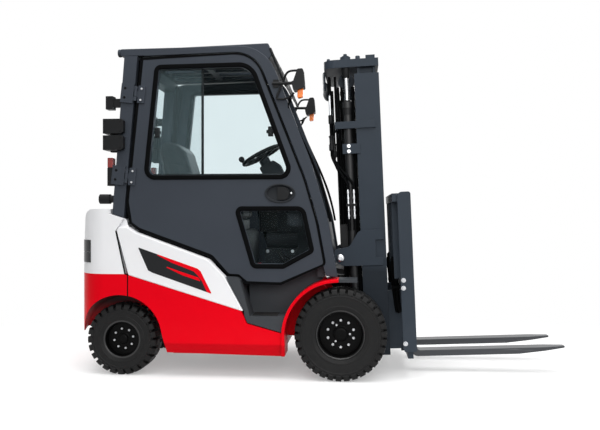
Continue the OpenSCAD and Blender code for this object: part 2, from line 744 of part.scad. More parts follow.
// Mast
module channel(x0, x1, y0, y1, z0, z1) difference() {
    block([x0, y0, z0], [x1, y1, z1]);
    block([x0 + flange_t, y0 - 1, z0 - 1], [x1 - flange_t, y1 - web_t, z1 + 1]);
}
module outer_mast() color(slate) leaning() {
    pair() {
        channel(rail_back, rail_front, mast_half - flange_w, mast_half, rail_foot, rail_top);
        difference() {
            union() {
                plate([[0, -90], [rail_back - 2, -130], [rail_back - 2, -45], [60, 60], [0, 90]], lug_in, lug_in + 24);
                across(0, 0, 90, lug_in, lug_in + 24);
            }
            across(0, 0, axle_r + run_gap, lug_in - 10, lug_in + 40);
        }
        difference() {
            plate(rounded([
                [tilt_u + 21, tilt_w - 54, 10],
                [290, tilt_w - 56, 10],
                [301, tilt_w + 153, 20],
                [285, tilt_w + 173, 10],
                [140, tilt_w + 173, 40],
                [tilt_u + 61, tilt_w + 70, 40],
                [tilt_u - 36, tilt_w + 55, 20],
                [tilt_u - 42, tilt_w - 25, 30]
            ]), mast_half, mast_half + 16);
            block([245, mast_half - 1, tilt_w - 3], [320, mast_half + 20, tilt_w + 110]);
        }
        across(tilt_u, tilt_w, 14, tilt_y - 20, mast_half + 2);
        across(tilt_u, tilt_w, 23, mast_half + 16, mast_half + 24);
        block([13, mast_half, 1304], [277, mast_half + 12, 1350]);
        block([rail_back - 95, mast_half, 1140], [rail_back + 20, mast_half + 8, 1205]);
        block([lift_x - 45, mast_half - 70, rail_foot], [rail_back + 2, mast_half, rail_foot + 22]);
    }
    block([13, -mast_half - 12, 1304], [lift_x - sheave_r - chain_t - seat_gap, mast_half + 12, 1350]);
    block([rail_back - 18, -mast_half, rail_foot], [rail_back, mast_half, rail_foot + 90]);
}
module lift_cylinders() color(charcoal) leaning() pair() difference() {
    union() {
        upright(lift_x, lift_y, 29, rail_foot + 22, 1440);
        upright(lift_x, lift_y, 33, 1440, 1480);
    }
    upright(lift_x, lift_y, 17, rail_foot + 40, 1500);
}
module lift_rods() color(steel) leaning() pair() upright(lift_x, lift_y, 16, rail_foot + 100, yoke_z);
module inner_mast() color(slate) leaning() {
    pair() difference() {
        block([inner_back, inner_in, rail_foot + 40], [inner_front, inner_out, yoke_z + 1]);
        block([inner_back + flange_t, inner_in - 1, rail_foot + 30], [inner_front - flange_t, inner_in + 20, yoke_z]);
        block([inner_back + flange_t, inner_in + 32, rail_foot + 30], [inner_front - flange_t, inner_out + 1, yoke_z]);
    }
    slab(rounded([
        [-45, -mast_half, 70],
        [rail_front, -mast_half, 0],
        [rail_front, mast_half, 0],
        [-45, mast_half, 70]
    ]), yoke_z, yoke_z + yoke_t);
    pair() {
        upright(lift_x, lift_y, 34, yoke_z + yoke_t - 1, yoke_z + yoke_t + 20);
        block([inner_front - 60, inner_in, yoke_z + yoke_t - 1], [inner_front, inner_out, yoke_z + yoke_t + 26]);
    }
    block([inner_back - 16, -inner_in - 16, rail_foot + 40], [inner_back + 2, inner_in + 16, rail_foot + 120]);
    pair() {
        across(lift_x, yoke_z - 75, sheave_r, 200, 228);
        block([lift_x - 20, 180, yoke_z - 95], [lift_x + 20, 200, yoke_z + 2]);
        block([lift_x - 20, 228, yoke_z - 95], [lift_x + 20, 248, yoke_z + 2]);
    }
}
chain_pitch = 38;
chain_w = 22;
// Link plates seen from the front: wide at each pin and waisted between pins, hung down from z1
function chain_side(z0, z1, side) =
    let (n = max(1, floor((z1 - z0) / chain_pitch)))
    [for (i = [0:n - 1]) for (k = [[0, 0.5], [0.25, 0.5], [0.4, 0.36], [0.85, 0.36]])
        [side * k[1] * chain_w, z1 - (i + k[0]) * chain_pitch]];
module chain(x0, x1, z0, z1) translate([x0, 214, 0]) rotate([90, 0, 90]) linear_extrude(x1 - x0) polygon(concat(
    chain_side(z0, z1, -1),
    [[-chain_w / 2, z0], [chain_w / 2, z0]],
    [for (i = [len(chain_side(z0, z1, 1)) - 1:-1:0]) chain_side(z0, z1, 1)[i]]
));
module chain_front() color(steel) leaning() pair()
    chain(lift_x + sheave_r + seat_gap, lift_x + sheave_r + chain_t, 100 + seat_gap, yoke_z - 75);
module chain_rear() color(steel) leaning() pair()
    chain(lift_x - sheave_r - chain_t, lift_x - sheave_r - seat_gap, 1290, yoke_z - 75);
module carriage() color(slate) leaning() {
    for (z = [-177, 150]) block([bar_back, -carriage_half + 25 + seat_gap, z], [bar_front, carriage_half - 25 - seat_gap, z + 80]);
    pair() {
        block([185, inner_in - 24, -150], [bar_back + 1, inner_in - 5, 235]);
        across(inner_back + 55.5, 180, 32, inner_in - 6, inner_in + 14);
        across(inner_back + 55.5, -90, 32, inner_in - 6, inner_in + 14);
        block([lift_x + sheave_r - 4, 195, 70], [200, inner_in - 10, 100]);
        block([390, 150, -177], [bar_back + 1, 190, 230]);
    }
}
module backrest() color(slate) leaning() {
    pair() plate(rounded([
        [396, -131, 8],
        [471, -131, 10],
        [471, backrest_top, 16],
        [388, backrest_top, 30],
        [388, -110, 0]
    ]), carriage_half - 25, carriage_half);
    block([356, -carriage_half + 20, backrest_top - 60], [460, carriage_half - 20, backrest_top - 8]);
    block([400, -carriage_half + 20, 250], [448, carriage_half - 20, 300]);
    for (i = [-3:3]) block([356, i * 116 - 6, 320], [450, i * 116 + 6, backrest_top - 50]);
    for (i = [-3:3]) block([402, i * 116 - 6, 290], [446, i * 116 + 6, 330]);
}
module fork() {
    intersection() {
        plate(rounded([
            [bar_front + seat_gap, blade_z, 45],
            [fork_tip_u - 300, blade_z, 0],
            [fork_tip_u, blade_z + fork_t - 12, 0],
            [fork_tip_u, blade_z + fork_t, 0],
            [bar_front + fork_t, blade_z + fork_t, 22],
            [bar_front + fork_t, 244, 12],
            [bar_front - 26, 244, 6],
            [bar_front - 26, 230 + seat_gap, 0],
            [bar_front + seat_gap, 230 + seat_gap, 0]
        ]), -fork_w / 2, fork_w / 2);
        slab(rounded([
            [bar_front - 60, -fork_w / 2, 0],
            [fork_tip_u - 130, -fork_w / 2, 80],
            [fork_tip_u, -fork_w / 4, 12],
            [fork_tip_u, fork_w / 4, 12],
            [fork_tip_u - 130, fork_w / 2, 80],
            [bar_front - 60, fork_w / 2, 0]
        ]), -400, 400);
    }
}
module forks() color(charcoal) leaning() pair() translate([0, fork_spacing / 2, 0]) fork();

// Tilt cylinders
module along_tilt() translate([tilt_foot[0], 0, tilt_foot[1]]) rotate([0, -tilt_rise, 0]) children();
module tilt_barrels() color(charcoal) along_tilt() pair() difference() {
    union() {
        across(0, 0, 28, tilt_y - 16, tilt_y + 16);
        translate([14, tilt_y, 0]) rotate([0, 90, 0]) cylinder(r = 15, h = 40);
        translate([48, tilt_y, 0]) rotate([0, 90, 0]) cylinder(r = 30, h = 206);
    }
    across(0, 0, 14 + run_gap, tilt_y - 40, tilt_y + 40);
    translate([60, tilt_y, 0]) rotate([0, 90, 0]) cylinder(r = 17, h = 300);
}
module tilt_rods() color(steel) along_tilt() pair() difference() {
    union() {
        translate([110, tilt_y, 0]) rotate([0, 90, 0]) cylinder(r = 16, h = tilt_len - 130);
        across(tilt_len, 0, 30, tilt_y - 18, tilt_y + 18);
    }
    across(tilt_len, 0, 18, tilt_y - 40, tilt_y + 40);
}

truck() chassis();
truck() counterweight();
truck() rear_cover();
truck() side_panels();
truck() front_fenders();
truck() step_wells();
truck() battery();
truck() battery_hood();
truck() floor_plate();
truck() cowl();
truck() dash();
truck() steering_wheel();
truck() seat_base();
truck() seat();
truck() controls();
truck() cab_rear_frame();
truck() guard_rails();
truck() roof_panel();
truck() cab_glass();
truck() door_right();
truck() door_left();
truck() door_glass_right();
truck() door_glass_left();
truck() headlamps();
truck() turn_lamps();
truck() lamp_lenses();
truck() rear_lamps();
truck() tail_lamps();
truck() front_axle();
truck() front_rim_right();
truck() front_tyre_right();
truck() front_rim_left();
truck() front_tyre_left();
truck() rear_axle();
truck() knuckle_right();
truck() knuckle_left();
truck() rear_rim_right();
truck() rear_tyre_right();
truck() rear_rim_left();
truck() rear_tyre_left();
truck() outer_mast();
truck() lift_cylinders();
truck() inner_mast();
truck() lift_rods();
truck() chain_front();
truck() chain_rear();
truck() carriage();
truck() backrest();
truck() forks();
truck() tilt_barrels();
truck() tilt_rods();
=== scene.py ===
from math import atan2, copysign, cos, pi, radians, sin, tan

import bmesh
import bpy
from mathutils import Matrix, Vector


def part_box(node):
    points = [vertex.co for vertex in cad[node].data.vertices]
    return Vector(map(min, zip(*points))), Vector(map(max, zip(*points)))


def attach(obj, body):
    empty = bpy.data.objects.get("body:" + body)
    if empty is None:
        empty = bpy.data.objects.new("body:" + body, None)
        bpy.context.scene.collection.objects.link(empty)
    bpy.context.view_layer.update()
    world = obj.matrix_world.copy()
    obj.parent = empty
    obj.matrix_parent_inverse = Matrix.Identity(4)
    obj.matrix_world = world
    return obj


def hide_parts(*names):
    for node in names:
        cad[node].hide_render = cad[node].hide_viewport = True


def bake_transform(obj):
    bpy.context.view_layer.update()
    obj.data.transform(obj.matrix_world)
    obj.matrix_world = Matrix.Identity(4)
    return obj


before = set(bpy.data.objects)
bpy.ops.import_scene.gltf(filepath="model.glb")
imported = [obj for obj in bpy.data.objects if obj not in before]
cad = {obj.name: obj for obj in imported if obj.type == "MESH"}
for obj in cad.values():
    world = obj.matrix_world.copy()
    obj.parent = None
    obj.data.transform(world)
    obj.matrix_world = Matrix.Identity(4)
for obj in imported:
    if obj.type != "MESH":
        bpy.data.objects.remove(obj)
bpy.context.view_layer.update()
scene = bpy.context.scene

# the source measures in millimetres from the front axle
wheelLow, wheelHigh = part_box("front_tyre_right")
axleX = (wheelLow.x + wheelHigh.x) / 2
axleZ = (wheelLow.z + wheelHigh.z) / 2
mastLean = radians(2.4)
rearX = -1375
cabHalf = 485
bodyHalf = 535
hands = ((-1, "right"), (1, "left"))


def at(x, y, z):
    return Vector((axleX + x / 1000, y / 1000, z / 1000))


def onMast(u, y, w):  # along the leaning mast
    x = u * cos(mastLean) - w * sin(mastLean)
    z = u * sin(mastLean) + w * cos(mastLean)
    return at(x, y, axleZ * 1000 + z)


mastUp = (onMast(0, 0, 1) - onMast(0, 0, 0)).normalized()
mastTurn = Matrix.Rotation(-mastLean, 4, "Y")


# shader maths
class Wire:
    def __init__(self, tree, socket=None):
        self.tree, self.socket = tree, socket

    def node(self, kind, settings=None, sockets=None, out=0):
        made = self.tree.nodes.new("ShaderNode" + kind)
        for key, value in (settings or {}).items():
            setattr(made, key, value)
        for key, value in (sockets or {}).items():
            plug(made, key, value)
        return Wire(self.tree, made.outputs[out])

    def maths(self, operation, left, right):
        return self.node("Math", {"operation": operation}, {0: left, 1: right})

    def __add__(self, other):
        return self.maths("ADD", self, other)

    def __sub__(self, other):
        return self.maths("SUBTRACT", self, other)

    def __rsub__(self, other):
        return self.maths("SUBTRACT", other, self)

    def __mul__(self, other):
        return self.maths("MULTIPLY", self, other)

    __radd__ = __add__
    __rmul__ = __mul__

    def between(self, low, high):  # 0 at low, 1 at high
        return self.node("MapRange", None, {"Value": self, "From Min": low, "From Max": high})

    def blend(self, first, second):  # from one colour to the other
        return self.node("Mix", {"data_type": "RGBA"}, {0: self, 6: first, 7: second}, 2)

    def noise(self, scale, detail=3.0):
        return self.node("TexNoise", None, {"Vector": self, "Scale": scale, "Detail": detail, "Roughness": 0.6})

    def stretched(self, x, y, z):
        return self.node("Mapping", None, {"Vector": self, "Scale": (x, y, z)})

    def bump(self, strength, distance):
        return self.node("Bump", None, {"Strength": strength, "Distance": distance, "Height": self})

    def axis(self, name):
        return self.node("SeparateXYZ", None, {"Vector": self}, name)


def toned(colour, amount):
    return tuple(min(1.0, c * amount) for c in colour) + (1.0,)


def plug(made, name, value):  # link a wire, or set a plain value
    if isinstance(value, Wire):
        value.tree.links.new(value.socket, made.inputs[name])
    else:
        made.inputs[name].default_value = value


def startMaterial(name):
    material = bpy.data.materials.new(name)
    material.use_nodes = True
    wire = Wire(material.node_tree)
    return material, wire.node("TexCoord", out="Object"), material.node_tree.nodes["Principled BSDF"]


def paint(name, colour, rough, spread, tone, grain, bump, dust=0.0, dustTop=0.9, speck=0.0, shine=0.12, underShade=0.0,
          footShade=None):
    material, place, shader = startMaterial(name)
    cloud = place.noise(2.4, 4.0)
    fine = place.noise(grain, 2.0)
    skin = cloud.between(0.3, 0.7).blend(toned(colour, 1 - tone), toned(colour, 1 + tone))
    if speck:
        skin = (fine.between(0.6, 0.75) * speck).blend(skin, toned(colour, 2.2))
    if dust:
        low = 1 - place.axis("Z").between(0.05, dustTop)
        film = low * place.noise(9.0, 6.0).between(0.35, 0.75) * dust
        skin = film.blend(skin, (0.34, 0.31, 0.27, 1))
    if underShade:  # painted shade: faces that look down are blended towards near black
        down = place.node("NewGeometry", out="Normal").axis("Z").between(-0.35, -0.75)
        skin = (down * underShade).blend(skin, (0.012, 0.012, 0.013, 1))
    if footShade:  # painted shade below a height: from, to, share
        skin = (place.axis("Z").between(footShade[0], footShade[1]) * footShade[2]).blend(skin, toned(colour, 0.35))
    plug(shader, "Base Color", skin)
    plug(shader, "Specular IOR Level", shine)
    plug(shader, "Roughness", rough + (place.noise(14.0, 5.0) - 0.5) * (2 * spread))
    plug(shader, "Normal", fine.bump(bump, 0.001))
    return material


def brushed(name, colour, rough, lines, depth):
    material, place, shader = startMaterial(name)
    streak = place.stretched(*lines).noise(1.0, 3.0)
    plug(shader, "Base Color", streak.between(0.25, 0.75).blend(toned(colour, 0.86), toned(colour, 1.08)))
    plug(shader, "Roughness", rough + (streak - 0.5) * 0.14)
    plug(shader, "Metallic", 1.0)
    plug(shader, "Normal", streak.bump(depth, 0.0006))
    return material


def glazing(name, tint, haze, share):  # a tinted clear pane under a thin film
    material, place, shader = startMaterial(name)
    smear = place.noise(5.0, 4.0)
    plug(shader, "Base Color", smear.between(0.3, 0.7).blend(toned(haze, 0.95), toned(haze, 1.03)))
    plug(shader, "Roughness", 0.05 + smear * 0.05)
    clear = place.node("BsdfTransparent", None, {"Color": tint + (1.0,)}, "BSDF")
    film = Wire(place.tree, shader.outputs["BSDF"])
    pane = place.node("MixShader", None, {0: share + (smear - 0.5) * 0.02, 1: clear, 2: film}, "Shader")
    place.tree.links.new(pane.socket, place.tree.nodes["Material Output"].inputs["Surface"])
    return material


def lens(name, colour, glow=0.0, shine=0.5):
    material, place, shader = startMaterial(name)
    rib = place.node("TexWave", {"wave_type": "BANDS", "bands_direction": "Z"}, {"Vector": place, "Scale": 55.0})
    plug(shader, "Base Color", rib.blend(toned(colour, 0.82), toned(colour, 1.1)))
    plug(shader, "Roughness", 0.1 + place.noise(30.0) * 0.1)
    plug(shader, "Specular IOR Level", shine)
    plug(shader, "Coat Weight", shine * 0.5)
    plug(shader, "Emission Color", toned(colour, 1.0))
    plug(shader, "Emission Strength", glow)
    plug(shader, "Normal", rib.bump(0.3, 0.002))
    return material


def tyreRubber(name):
    material, place, shader = startMaterial(name)
    cloud, fine = place.noise(7.0, 5.0), place.noise(520.0, 3.0)
    skin = cloud.between(0.3, 0.75).blend((0.005, 0.0051, 0.0053, 1), (0.0082, 0.0082, 0.0084, 1))
    film = place.noise(24.0, 6.0).between(0.5, 0.85) * 0.04
    plug(shader, "Base Color", film.blend(skin, (0.13, 0.12, 0.105, 1)))
    plug(shader, "Roughness", 0.5 + (cloud - 0.5) * 0.2)
    plug(shader, "Specular IOR Level", 0.18)
    plug(shader, "Normal", fine.bump(0.22, 0.0012))
    return material


def seatVinyl(name, colour):
    material, place, shader = startMaterial(name)
    cell = place.node("TexVoronoi", None, {"Vector": place, "Scale": 420.0})
    cloud = place.noise(6.0, 4.0)
    plug(shader, "Base Color", cloud.between(0.3, 0.7).blend(toned(colour, 0.9), toned(colour, 1.1)))
    plug(shader, "Roughness", 0.52 + (cloud - 0.5) * 0.16)
    plug(shader, "Specular IOR Level", 0.15)
    plug(shader, "Normal", cell.bump(0.25, 0.0008))
    return material


def forkSteel(name):  # dark enamel rubbed bright towards the tips
    material, place, shader = startMaterial(name)
    scratch = place.stretched(6.0, 160.0, 160.0).noise(1.0, 5.0)
    along = place.axis("X").between(0.9, 1.6)
    worn = (scratch.between(0.55, 0.72) * along) * 0.55
    plug(shader, "Base Color", worn.blend((0.026, 0.029, 0.034, 1), (0.3, 0.3, 0.31, 1)))
    plug(shader, "Metallic", worn)
    plug(shader, "Roughness", 0.32 - worn * 0.1)
    plug(shader, "Normal", scratch.bump(0.12, 0.001))
    return material


# painted shade on the red paint: faces that look down, and a darker band along the foot of the sill
redPaint = paint("redPaint", (0.74, 0.0006, 0.0085), 0.34, 0.05, 0.03, 240.0, 0.025, dust=0.012, dustTop=0.45,
                 shine=0.065, underShade=0.95, footShade=(0.225, 0.212, 0.45))
whitePaint = paint("whitePaint", (0.84, 0.845, 0.86), 0.36, 0.05, 0.015, 240.0, 0.025, dust=0.02, shine=0.12)
# the slate paint gets painted shade on faces that look down
slatePaint = paint("slatePaint", (0.039, 0.046, 0.058), 0.44, 0.05, 0.05, 1300.0, 0.1, speck=0.05, dust=0.02, underShade=0.8)
mastPaint = paint("mastPaint", (0.029, 0.038, 0.05), 0.42, 0.06, 0.06, 900.0, 0.1, dust=0.02, shine=0.14)
# mastPaint copy for the rails, with a painted shadow darkening their lower part
railShadedPaint = paint("railShadedPaint", (0.029, 0.038, 0.05), 0.42, 0.06, 0.06, 900.0, 0.1, dust=0.02, shine=0.1,
                  footShade=(0.7, 0.665, 0.75))
darkPlastic = paint("darkPlastic", (0.021, 0.0235, 0.027), 0.52, 0.06, 0.08, 1100.0, 0.2, speck=0.06, dust=0.03,
                    shine=0.1)
stepPlastic = paint("stepPlastic", (0.042, 0.047, 0.053), 0.5, 0.06, 0.08, 1100.0, 0.22, speck=0.06, dust=0.04)
deepBlack = paint("deepBlack", (0.0075, 0.008, 0.0088), 0.42, 0.08, 0.1, 900.0, 0.14, shine=0.16)
sealRubber = paint("sealRubber", (0.0022, 0.0024, 0.0027), 0.56, 0.06, 0.1, 1500.0, 0.14, shine=0.03)
rimPaint = paint("rimPaint", (0.0016, 0.0016, 0.0017), 0.4, 0.05, 0.08, 800.0, 0.06, shine=0.07)
flangePaint = paint("flangePaint", (0.003, 0.0031, 0.0034), 0.3, 0.05, 0.08, 800.0, 0.04, shine=0.55)
axlePaint = paint("axlePaint", (0.014, 0.0145, 0.016), 0.5, 0.08, 0.12, 500.0, 0.2, dust=0.12, dustTop=0.6)
barrelPaint = paint("barrelPaint", (0.011, 0.0115, 0.0125), 0.34, 0.06, 0.06, 900.0, 0.06, shine=0.3)
batteryPaint = paint("batteryPaint", (0.014, 0.015, 0.017), 0.5, 0.06, 0.1, 600.0, 0.1)
matRubber = paint("matRubber", (0.015, 0.0152, 0.016), 0.75, 0.08, 0.15, 700.0, 0.3, dust=0.08, shine=0.08)
badgeBlack = paint("badgeBlack", (0.016, 0.0165, 0.018), 0.3, 0.04, 0.06, 1200.0, 0.03)
badgeRed = paint("badgeRed", (0.76, 0.0012, 0.0095), 0.3, 0.04, 0.03, 1200.0, 0.03, shine=0.09)
rodChrome = brushed("rodChrome", (0.5, 0.51, 0.53), 0.22, (300.0, 300.0, 8.0), 0.02)
zincSteel = brushed("zincSteel", (0.64, 0.65, 0.67), 0.3, (90.0, 90.0, 90.0), 0.06)
chainSteel = brushed("chainSteel", (0.07, 0.07, 0.074), 0.4, (200.0, 200.0, 200.0), 0.1)
clearGlass = glazing("clearGlass", (0.946, 0.981, 0.988), (0.05, 0.07, 0.075), 0.03)
slidingGlass = glazing("slidingGlass", (0.93, 0.945, 0.95), (0.5, 0.63, 0.66), 0.06)
amberLens = lens("amberLens", (0.95, 0.2, 0.01), 0.12)
redLens = lens("redLens", (0.26, 0.014, 0.01), 0.03)
clearLens = lens("clearLens", (0.72, 0.75, 0.78))
smokeLens = lens("smokeLens", (0.016, 0.0165, 0.018), 0.0, 0.15)
treadRubber = tyreRubber("treadRubber")
bladeSteel = forkSteel("bladeSteel")
vinylDark = seatVinyl("vinylDark", (0.013, 0.0145, 0.016))
vinylGrey = seatVinyl("vinylGrey", (0.042, 0.046, 0.05))
print("materials made:", len(bpy.data.materials))


# mesh helpers
def roundOutline(corners, steps):
    points = []
    for i, (x, z, radius) in enumerate(corners):
        here = Vector((x, z))
        if radius <= 0:
            points.append(here)
            continue
        back = (Vector(corners[i - 1][:2]) - here).normalized()
        ahead = (Vector(corners[(i + 1) % len(corners)][:2]) - here).normalized()
        half = back.angle(ahead) / 2
        middle = here + (back + ahead).normalized() * radius / sin(half)
        first = here + back * radius / tan(half) - middle
        last = here + ahead * radius / tan(half) - middle
        turn = atan2(first.x * last.y - first.y * last.x, first.dot(last))
        begin = atan2(first.y, first.x)
        for k in range(steps + 1):
            a = begin + turn * k / steps
            points.append(middle + Vector((cos(a), sin(a))) * radius)
    return points


def growOutline(corners, amount):
    grownCorners = []
    for i, (x, z, radius) in enumerate(corners):
        here = Vector((x, z))
        one = (here - Vector(corners[i - 1][:2])).normalized()
        two = (Vector(corners[(i + 1) % len(corners)][:2]) - here).normalized()
        n1, n2 = Vector((one.y, -one.x)), Vector((two.y, -two.x))
        moved = here + (n1 + n2) * amount / (1 + n1.dot(n2))
        convex = one.x * two.y - one.y * two.x > 0
        grownCorners.append((moved.x, moved.y, max(0.0, radius + (amount if convex else -amount))))
    return grownCorners


def addPiece(name, bm, material, body="truck", slot=None, smooth=38.0, bevel=0.0, segments=2):
    if bevel:
        sharp = [e for e in bm.edges if e.is_manifold and e.calc_face_angle(0.0) > radians(30)]
        bmesh.ops.bevel(bm, geom=sharp, offset=bevel / 1000, segments=segments, profile=0.5, affect="EDGES",
                        clamp_overlap=True)
    bmesh.ops.recalc_face_normals(bm, faces=bm.faces)
    mesh = bpy.data.meshes.new(name)
    bm.to_mesh(mesh)
    bm.free()
    mesh.materials.append(material)
    mesh.polygons.foreach_set("use_smooth", [True] * len(mesh.polygons))
    mesh.set_sharp_from_angle(angle=radians(smooth))
    piece = bpy.data.objects.new(name, mesh)
    scene.collection.objects.link(piece)
    if body:
        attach(piece, body)
    return piece


def addBox(bm, low, high, turn=None):
    middle, size = (low + high) / 2, high - low
    frameOf = Matrix.Translation(middle) @ (turn or Matrix.Identity(4)) @ Matrix.Diagonal((*map(abs, size), 1.0))
    bmesh.ops.create_cube(bm, size=1.0, matrix=frameOf)


def addPlate(bm, outline, place):  # place(point, 0 or 1) puts the two faces of a plate
    rims = [[bm.verts.new(place(p, k)) for p in outline] for k in (0, 1)]
    bm.faces.new(rims[0])
    bm.faces.new(list(reversed(rims[1])))
    count = len(outline)
    for i in range(count):
        j = (i + 1) % count
        bm.faces.new((rims[0][j], rims[0][i], rims[1][i], rims[1][j]))


def sidePlate(bm, outline, y0, y1):
    addPlate(bm, outline, lambda p, k: at(p[0], (y0, y1)[k], p[1]))


def platePiece(name, outline, y0, y1, *rest, **more):  # a piece of one side plate
    bm = bmesh.new()
    sidePlate(bm, outline, y0, y1)
    addPiece(name, bm, *rest, **more)


def addSkin(bm, rings, closed=False):  # quads from each ring of points to the next
    for lower, upper in zip(rings, rings[1:] + rings[:1] if closed else rings[1:]):
        count = len(lower)
        for k in range(count):
            j = (k + 1) % count
            bm.faces.new((lower[k], lower[j], upper[j], upper[k]))


def addLathe(bm, origin, axis, profile, segments):
    axis = axis.normalized()
    across = axis.orthogonal().normalized()
    upward = axis.cross(across)
    rings = []
    for radius, height in profile:
        centre = origin + axis * (height / 1000)
        if radius <= 0:
            rings.append([bm.verts.new(centre)])
            continue
        turns = [2 * pi * i / segments for i in range(segments)]
        rays = [across * cos(a) + upward * sin(a) for a in turns]
        rings.append([bm.verts.new(centre + ray * (radius / 1000)) for ray in rays])
    for lower, upper in zip(rings, rings[1:]):
        for i in range(segments):
            j = (i + 1) % segments
            corners = []
            for ring, k in ((lower, i), (lower, j), (upper, j), (upper, i)):
                vertex = ring[k % len(ring)]
                if vertex not in corners:
                    corners.append(vertex)
            if len(corners) > 2:
                bm.faces.new(corners)
    for end in (rings[0], rings[-1]):
        if len(end) > 1:
            bm.faces.new(end)


def smoothPath(points, steps):  # Catmull-Rom through the points
    count = len(points)
    path = []
    for i in range(count - 1):
        p = [points[max(0, min(count - 1, i + k))] for k in (-1, 0, 1, 2)]
        for s in range(steps):
            t = s / steps
            path.append(0.5 * (2 * p[1] + (p[2] - p[0]) * t + (2 * p[0] - 5 * p[1] + 4 * p[2] - p[3]) * t * t
                               + (3 * p[1] - p[0] - 3 * p[2] + p[3]) * t ** 3))
    path.append(points[-1].copy())
    return path


def addTube(bm, path, radius, segments, closed=False):
    count = len(path)
    rings = []
    side = None
    for i, here in enumerate(path):
        after = path[(i + 1) % count] if closed else path[min(i + 1, count - 1)]
        before = path[i - 1] if closed or i else path[0]
        ahead = (after - before).normalized()
        side = ahead.orthogonal() if side is None else side - ahead * side.dot(ahead)
        side = side.normalized()
        other = ahead.cross(side)
        thick = radius(i / max(1, count - 1)) if callable(radius) else radius
        turns = [2 * pi * k / segments for k in range(segments)]
        rays = [side * cos(a) + other * sin(a) for a in turns]
        rings.append([bm.verts.new(here + ray * (thick / 1000)) for ray in rays])
    addSkin(bm, rings, closed)
    if not closed:
        bm.faces.new(list(reversed(rings[0])))
        bm.faces.new(rings[-1])


def addLoop(bm, outline, profile, y, side):  # a rubber section run round an outline in the side's plane
    count = len(outline)
    rings = []
    for i, here in enumerate(outline):
        ahead = (outline[(i + 1) % count] - outline[i - 1]).normalized()
        outward = Vector((ahead.y, -ahead.x))
        rings.append([bm.verts.new(at(here.x + outward.x * a, side * (y + b), here.y + outward.y * a))
                      for a, b in profile])
    addSkin(bm, rings, True)


def softSection(halfWidth, low, high, radius, steps=3):  # rounded rectangle, in-plane by depth
    corners = ((-halfWidth, low), (halfWidth, low), (halfWidth, high), (-halfWidth, high))
    return [(p.x, p.y) for p in roundOutline([(x, z, radius) for x, z in corners], steps)]


def addBolt(bm, origin, axis, size, washer=True):
    if washer:
        addLathe(bm, origin, axis, [(0, 0), (size * 1.45, 0), (size * 1.45, size * 0.22), (0, size * 0.22)], 20)
    addLathe(bm, origin, axis, [(size, size * 0.2), (size, size * 0.85), (size * 0.82, size * 1.05),
                                (0, size * 1.05)], 6)


def addNut(bm, origin, axis, size):
    addBolt(bm, origin, axis, size, False)
    addLathe(bm, origin, axis, [(size * 0.55, size), (size * 0.55, size * 1.6), (size * 0.42, size * 1.75),
                                (0, size * 1.75)], 14)


# CAD solids: finishes and softened edges
finishes = (  # material, edge radius in millimetres, nodes; * stands for either hand
    (redPaint, 5, "chassis front_fenders"),
    (redPaint, 14, "counterweight"),
    (whitePaint, 14, "rear_cover"),
    (whitePaint, 8, "side_panels"),
    (stepPlastic, 4, "step_wells"),
    (batteryPaint, 4, "battery"),
    (darkPlastic, 10, "battery_hood dash"),
    (darkPlastic, 5, "controls"),
    (matRubber, 2, "floor_plate"),
    (slatePaint, 4, "cowl cab_rear_frame"),
    (slatePaint, 5, "door_*"),
    (slatePaint, 7, "roof_panel"),
    (slatePaint, 22, "guard_rails"),
    (deepBlack, 6, "seat_base headlamps"),
    (deepBlack, 7, "rear_lamps"),
    (clearGlass, 0, "cab_glass door_glass_*"),
    (amberLens, 5, "turn_lamps"),
    (clearLens, 0, "lamp_lenses"),
    (redLens, 5, "tail_lamps"),
    (axlePaint, 3, "front_axle rear_axle"),
    (axlePaint, 2, "knuckle_*"),
    (rimPaint, 2, "front_rim_* rear_rim_*"),
    (railShadedPaint, 4, "outer_mast"),
    (railShadedPaint, 3, "inner_mast"),
    (barrelPaint, 2, "lift_cylinders tilt_barrels"),
    (rodChrome, 0, "lift_rods tilt_rods"),
    (mastPaint, 3, "carriage"),
    (mastPaint, 5, "backrest"),
    (bladeSteel, 3, "forks"),
)


def dress(node, material, edge):
    solid = cad[node]
    solid.data.materials.clear()
    solid.data.materials.append(material)
    solid.data.polygons.foreach_set("use_smooth", [True] * len(solid.data.polygons))
    weld = solid.modifiers.new("weld", "WELD")
    weld.merge_threshold = 0.00002
    if edge:
        flat = solid.modifiers.new("flat", "DECIMATE")
        flat.decimate_type = "DISSOLVE"
        flat.angle_limit = radians(0.6)
        soft = solid.modifiers.new("soft", "BEVEL")
        soft.width = edge / 1000
        soft.segments = 5 if edge > 15 else 3 if edge > 4 else 2
        soft.limit_method = "ANGLE"
        soft.angle_limit = radians(28)
        soft.use_clamp_overlap = True
        soft.miter_outer = "MITER_ARC"
    even = solid.modifiers.new("even", "WEIGHTED_NORMAL")
    even.weight = 100
    even.keep_sharp = False


for material, edge, nodes in finishes:
    for pattern in nodes.split():
        for node in dict.fromkeys(pattern.replace("*", hand) for side, hand in hands):
            dress(node, material, edge)
print("CAD solids dressed")

# doors: gaskets, sliding pane, handle, hinge bolts
doorEdge = [
    (rearX - 11, 1120, 150), (rearX + 12, 975, 30), (rearX + 70, 934, 50), (-832, 764, 60), (-714, 651, 30),
    (-648, 648, 20), (-604, 594, 20), (-378, 588, 30), (-100, 722, 25), (-152, 1000, 900), (-228, 1260, 900),
    (-548, 2067, 190), (rearX + 88, 2050, 22),
]
windowEdge = [(rearX + 103, 1260, 70), (-286, 1260, 70), (-560, 2006, 130), (rearX + 180, 1999, 45)]
lowWindowEdge = [(-566, 693, 45), (-360, 693, 40), (-165, 800, 35), (-228, 1088, 60), (-682, 1088, 40)]
doorTrim = {
    "gasketHalf": 14.5, "gasketProud": 7.0, "gasketIn": 14.0, "lipIn": 27.0, "innerFace": 38,
    "sealWidth": 17.0, "sealFront": 0.5, "sealDepth": 28, "sealProud": 1.2, "beadProud": 2.4,
    "jamb": (430, 444), "pane": (454, 458), "dividerX": -888, "handleX": -384, "handleZ": 1170,
}


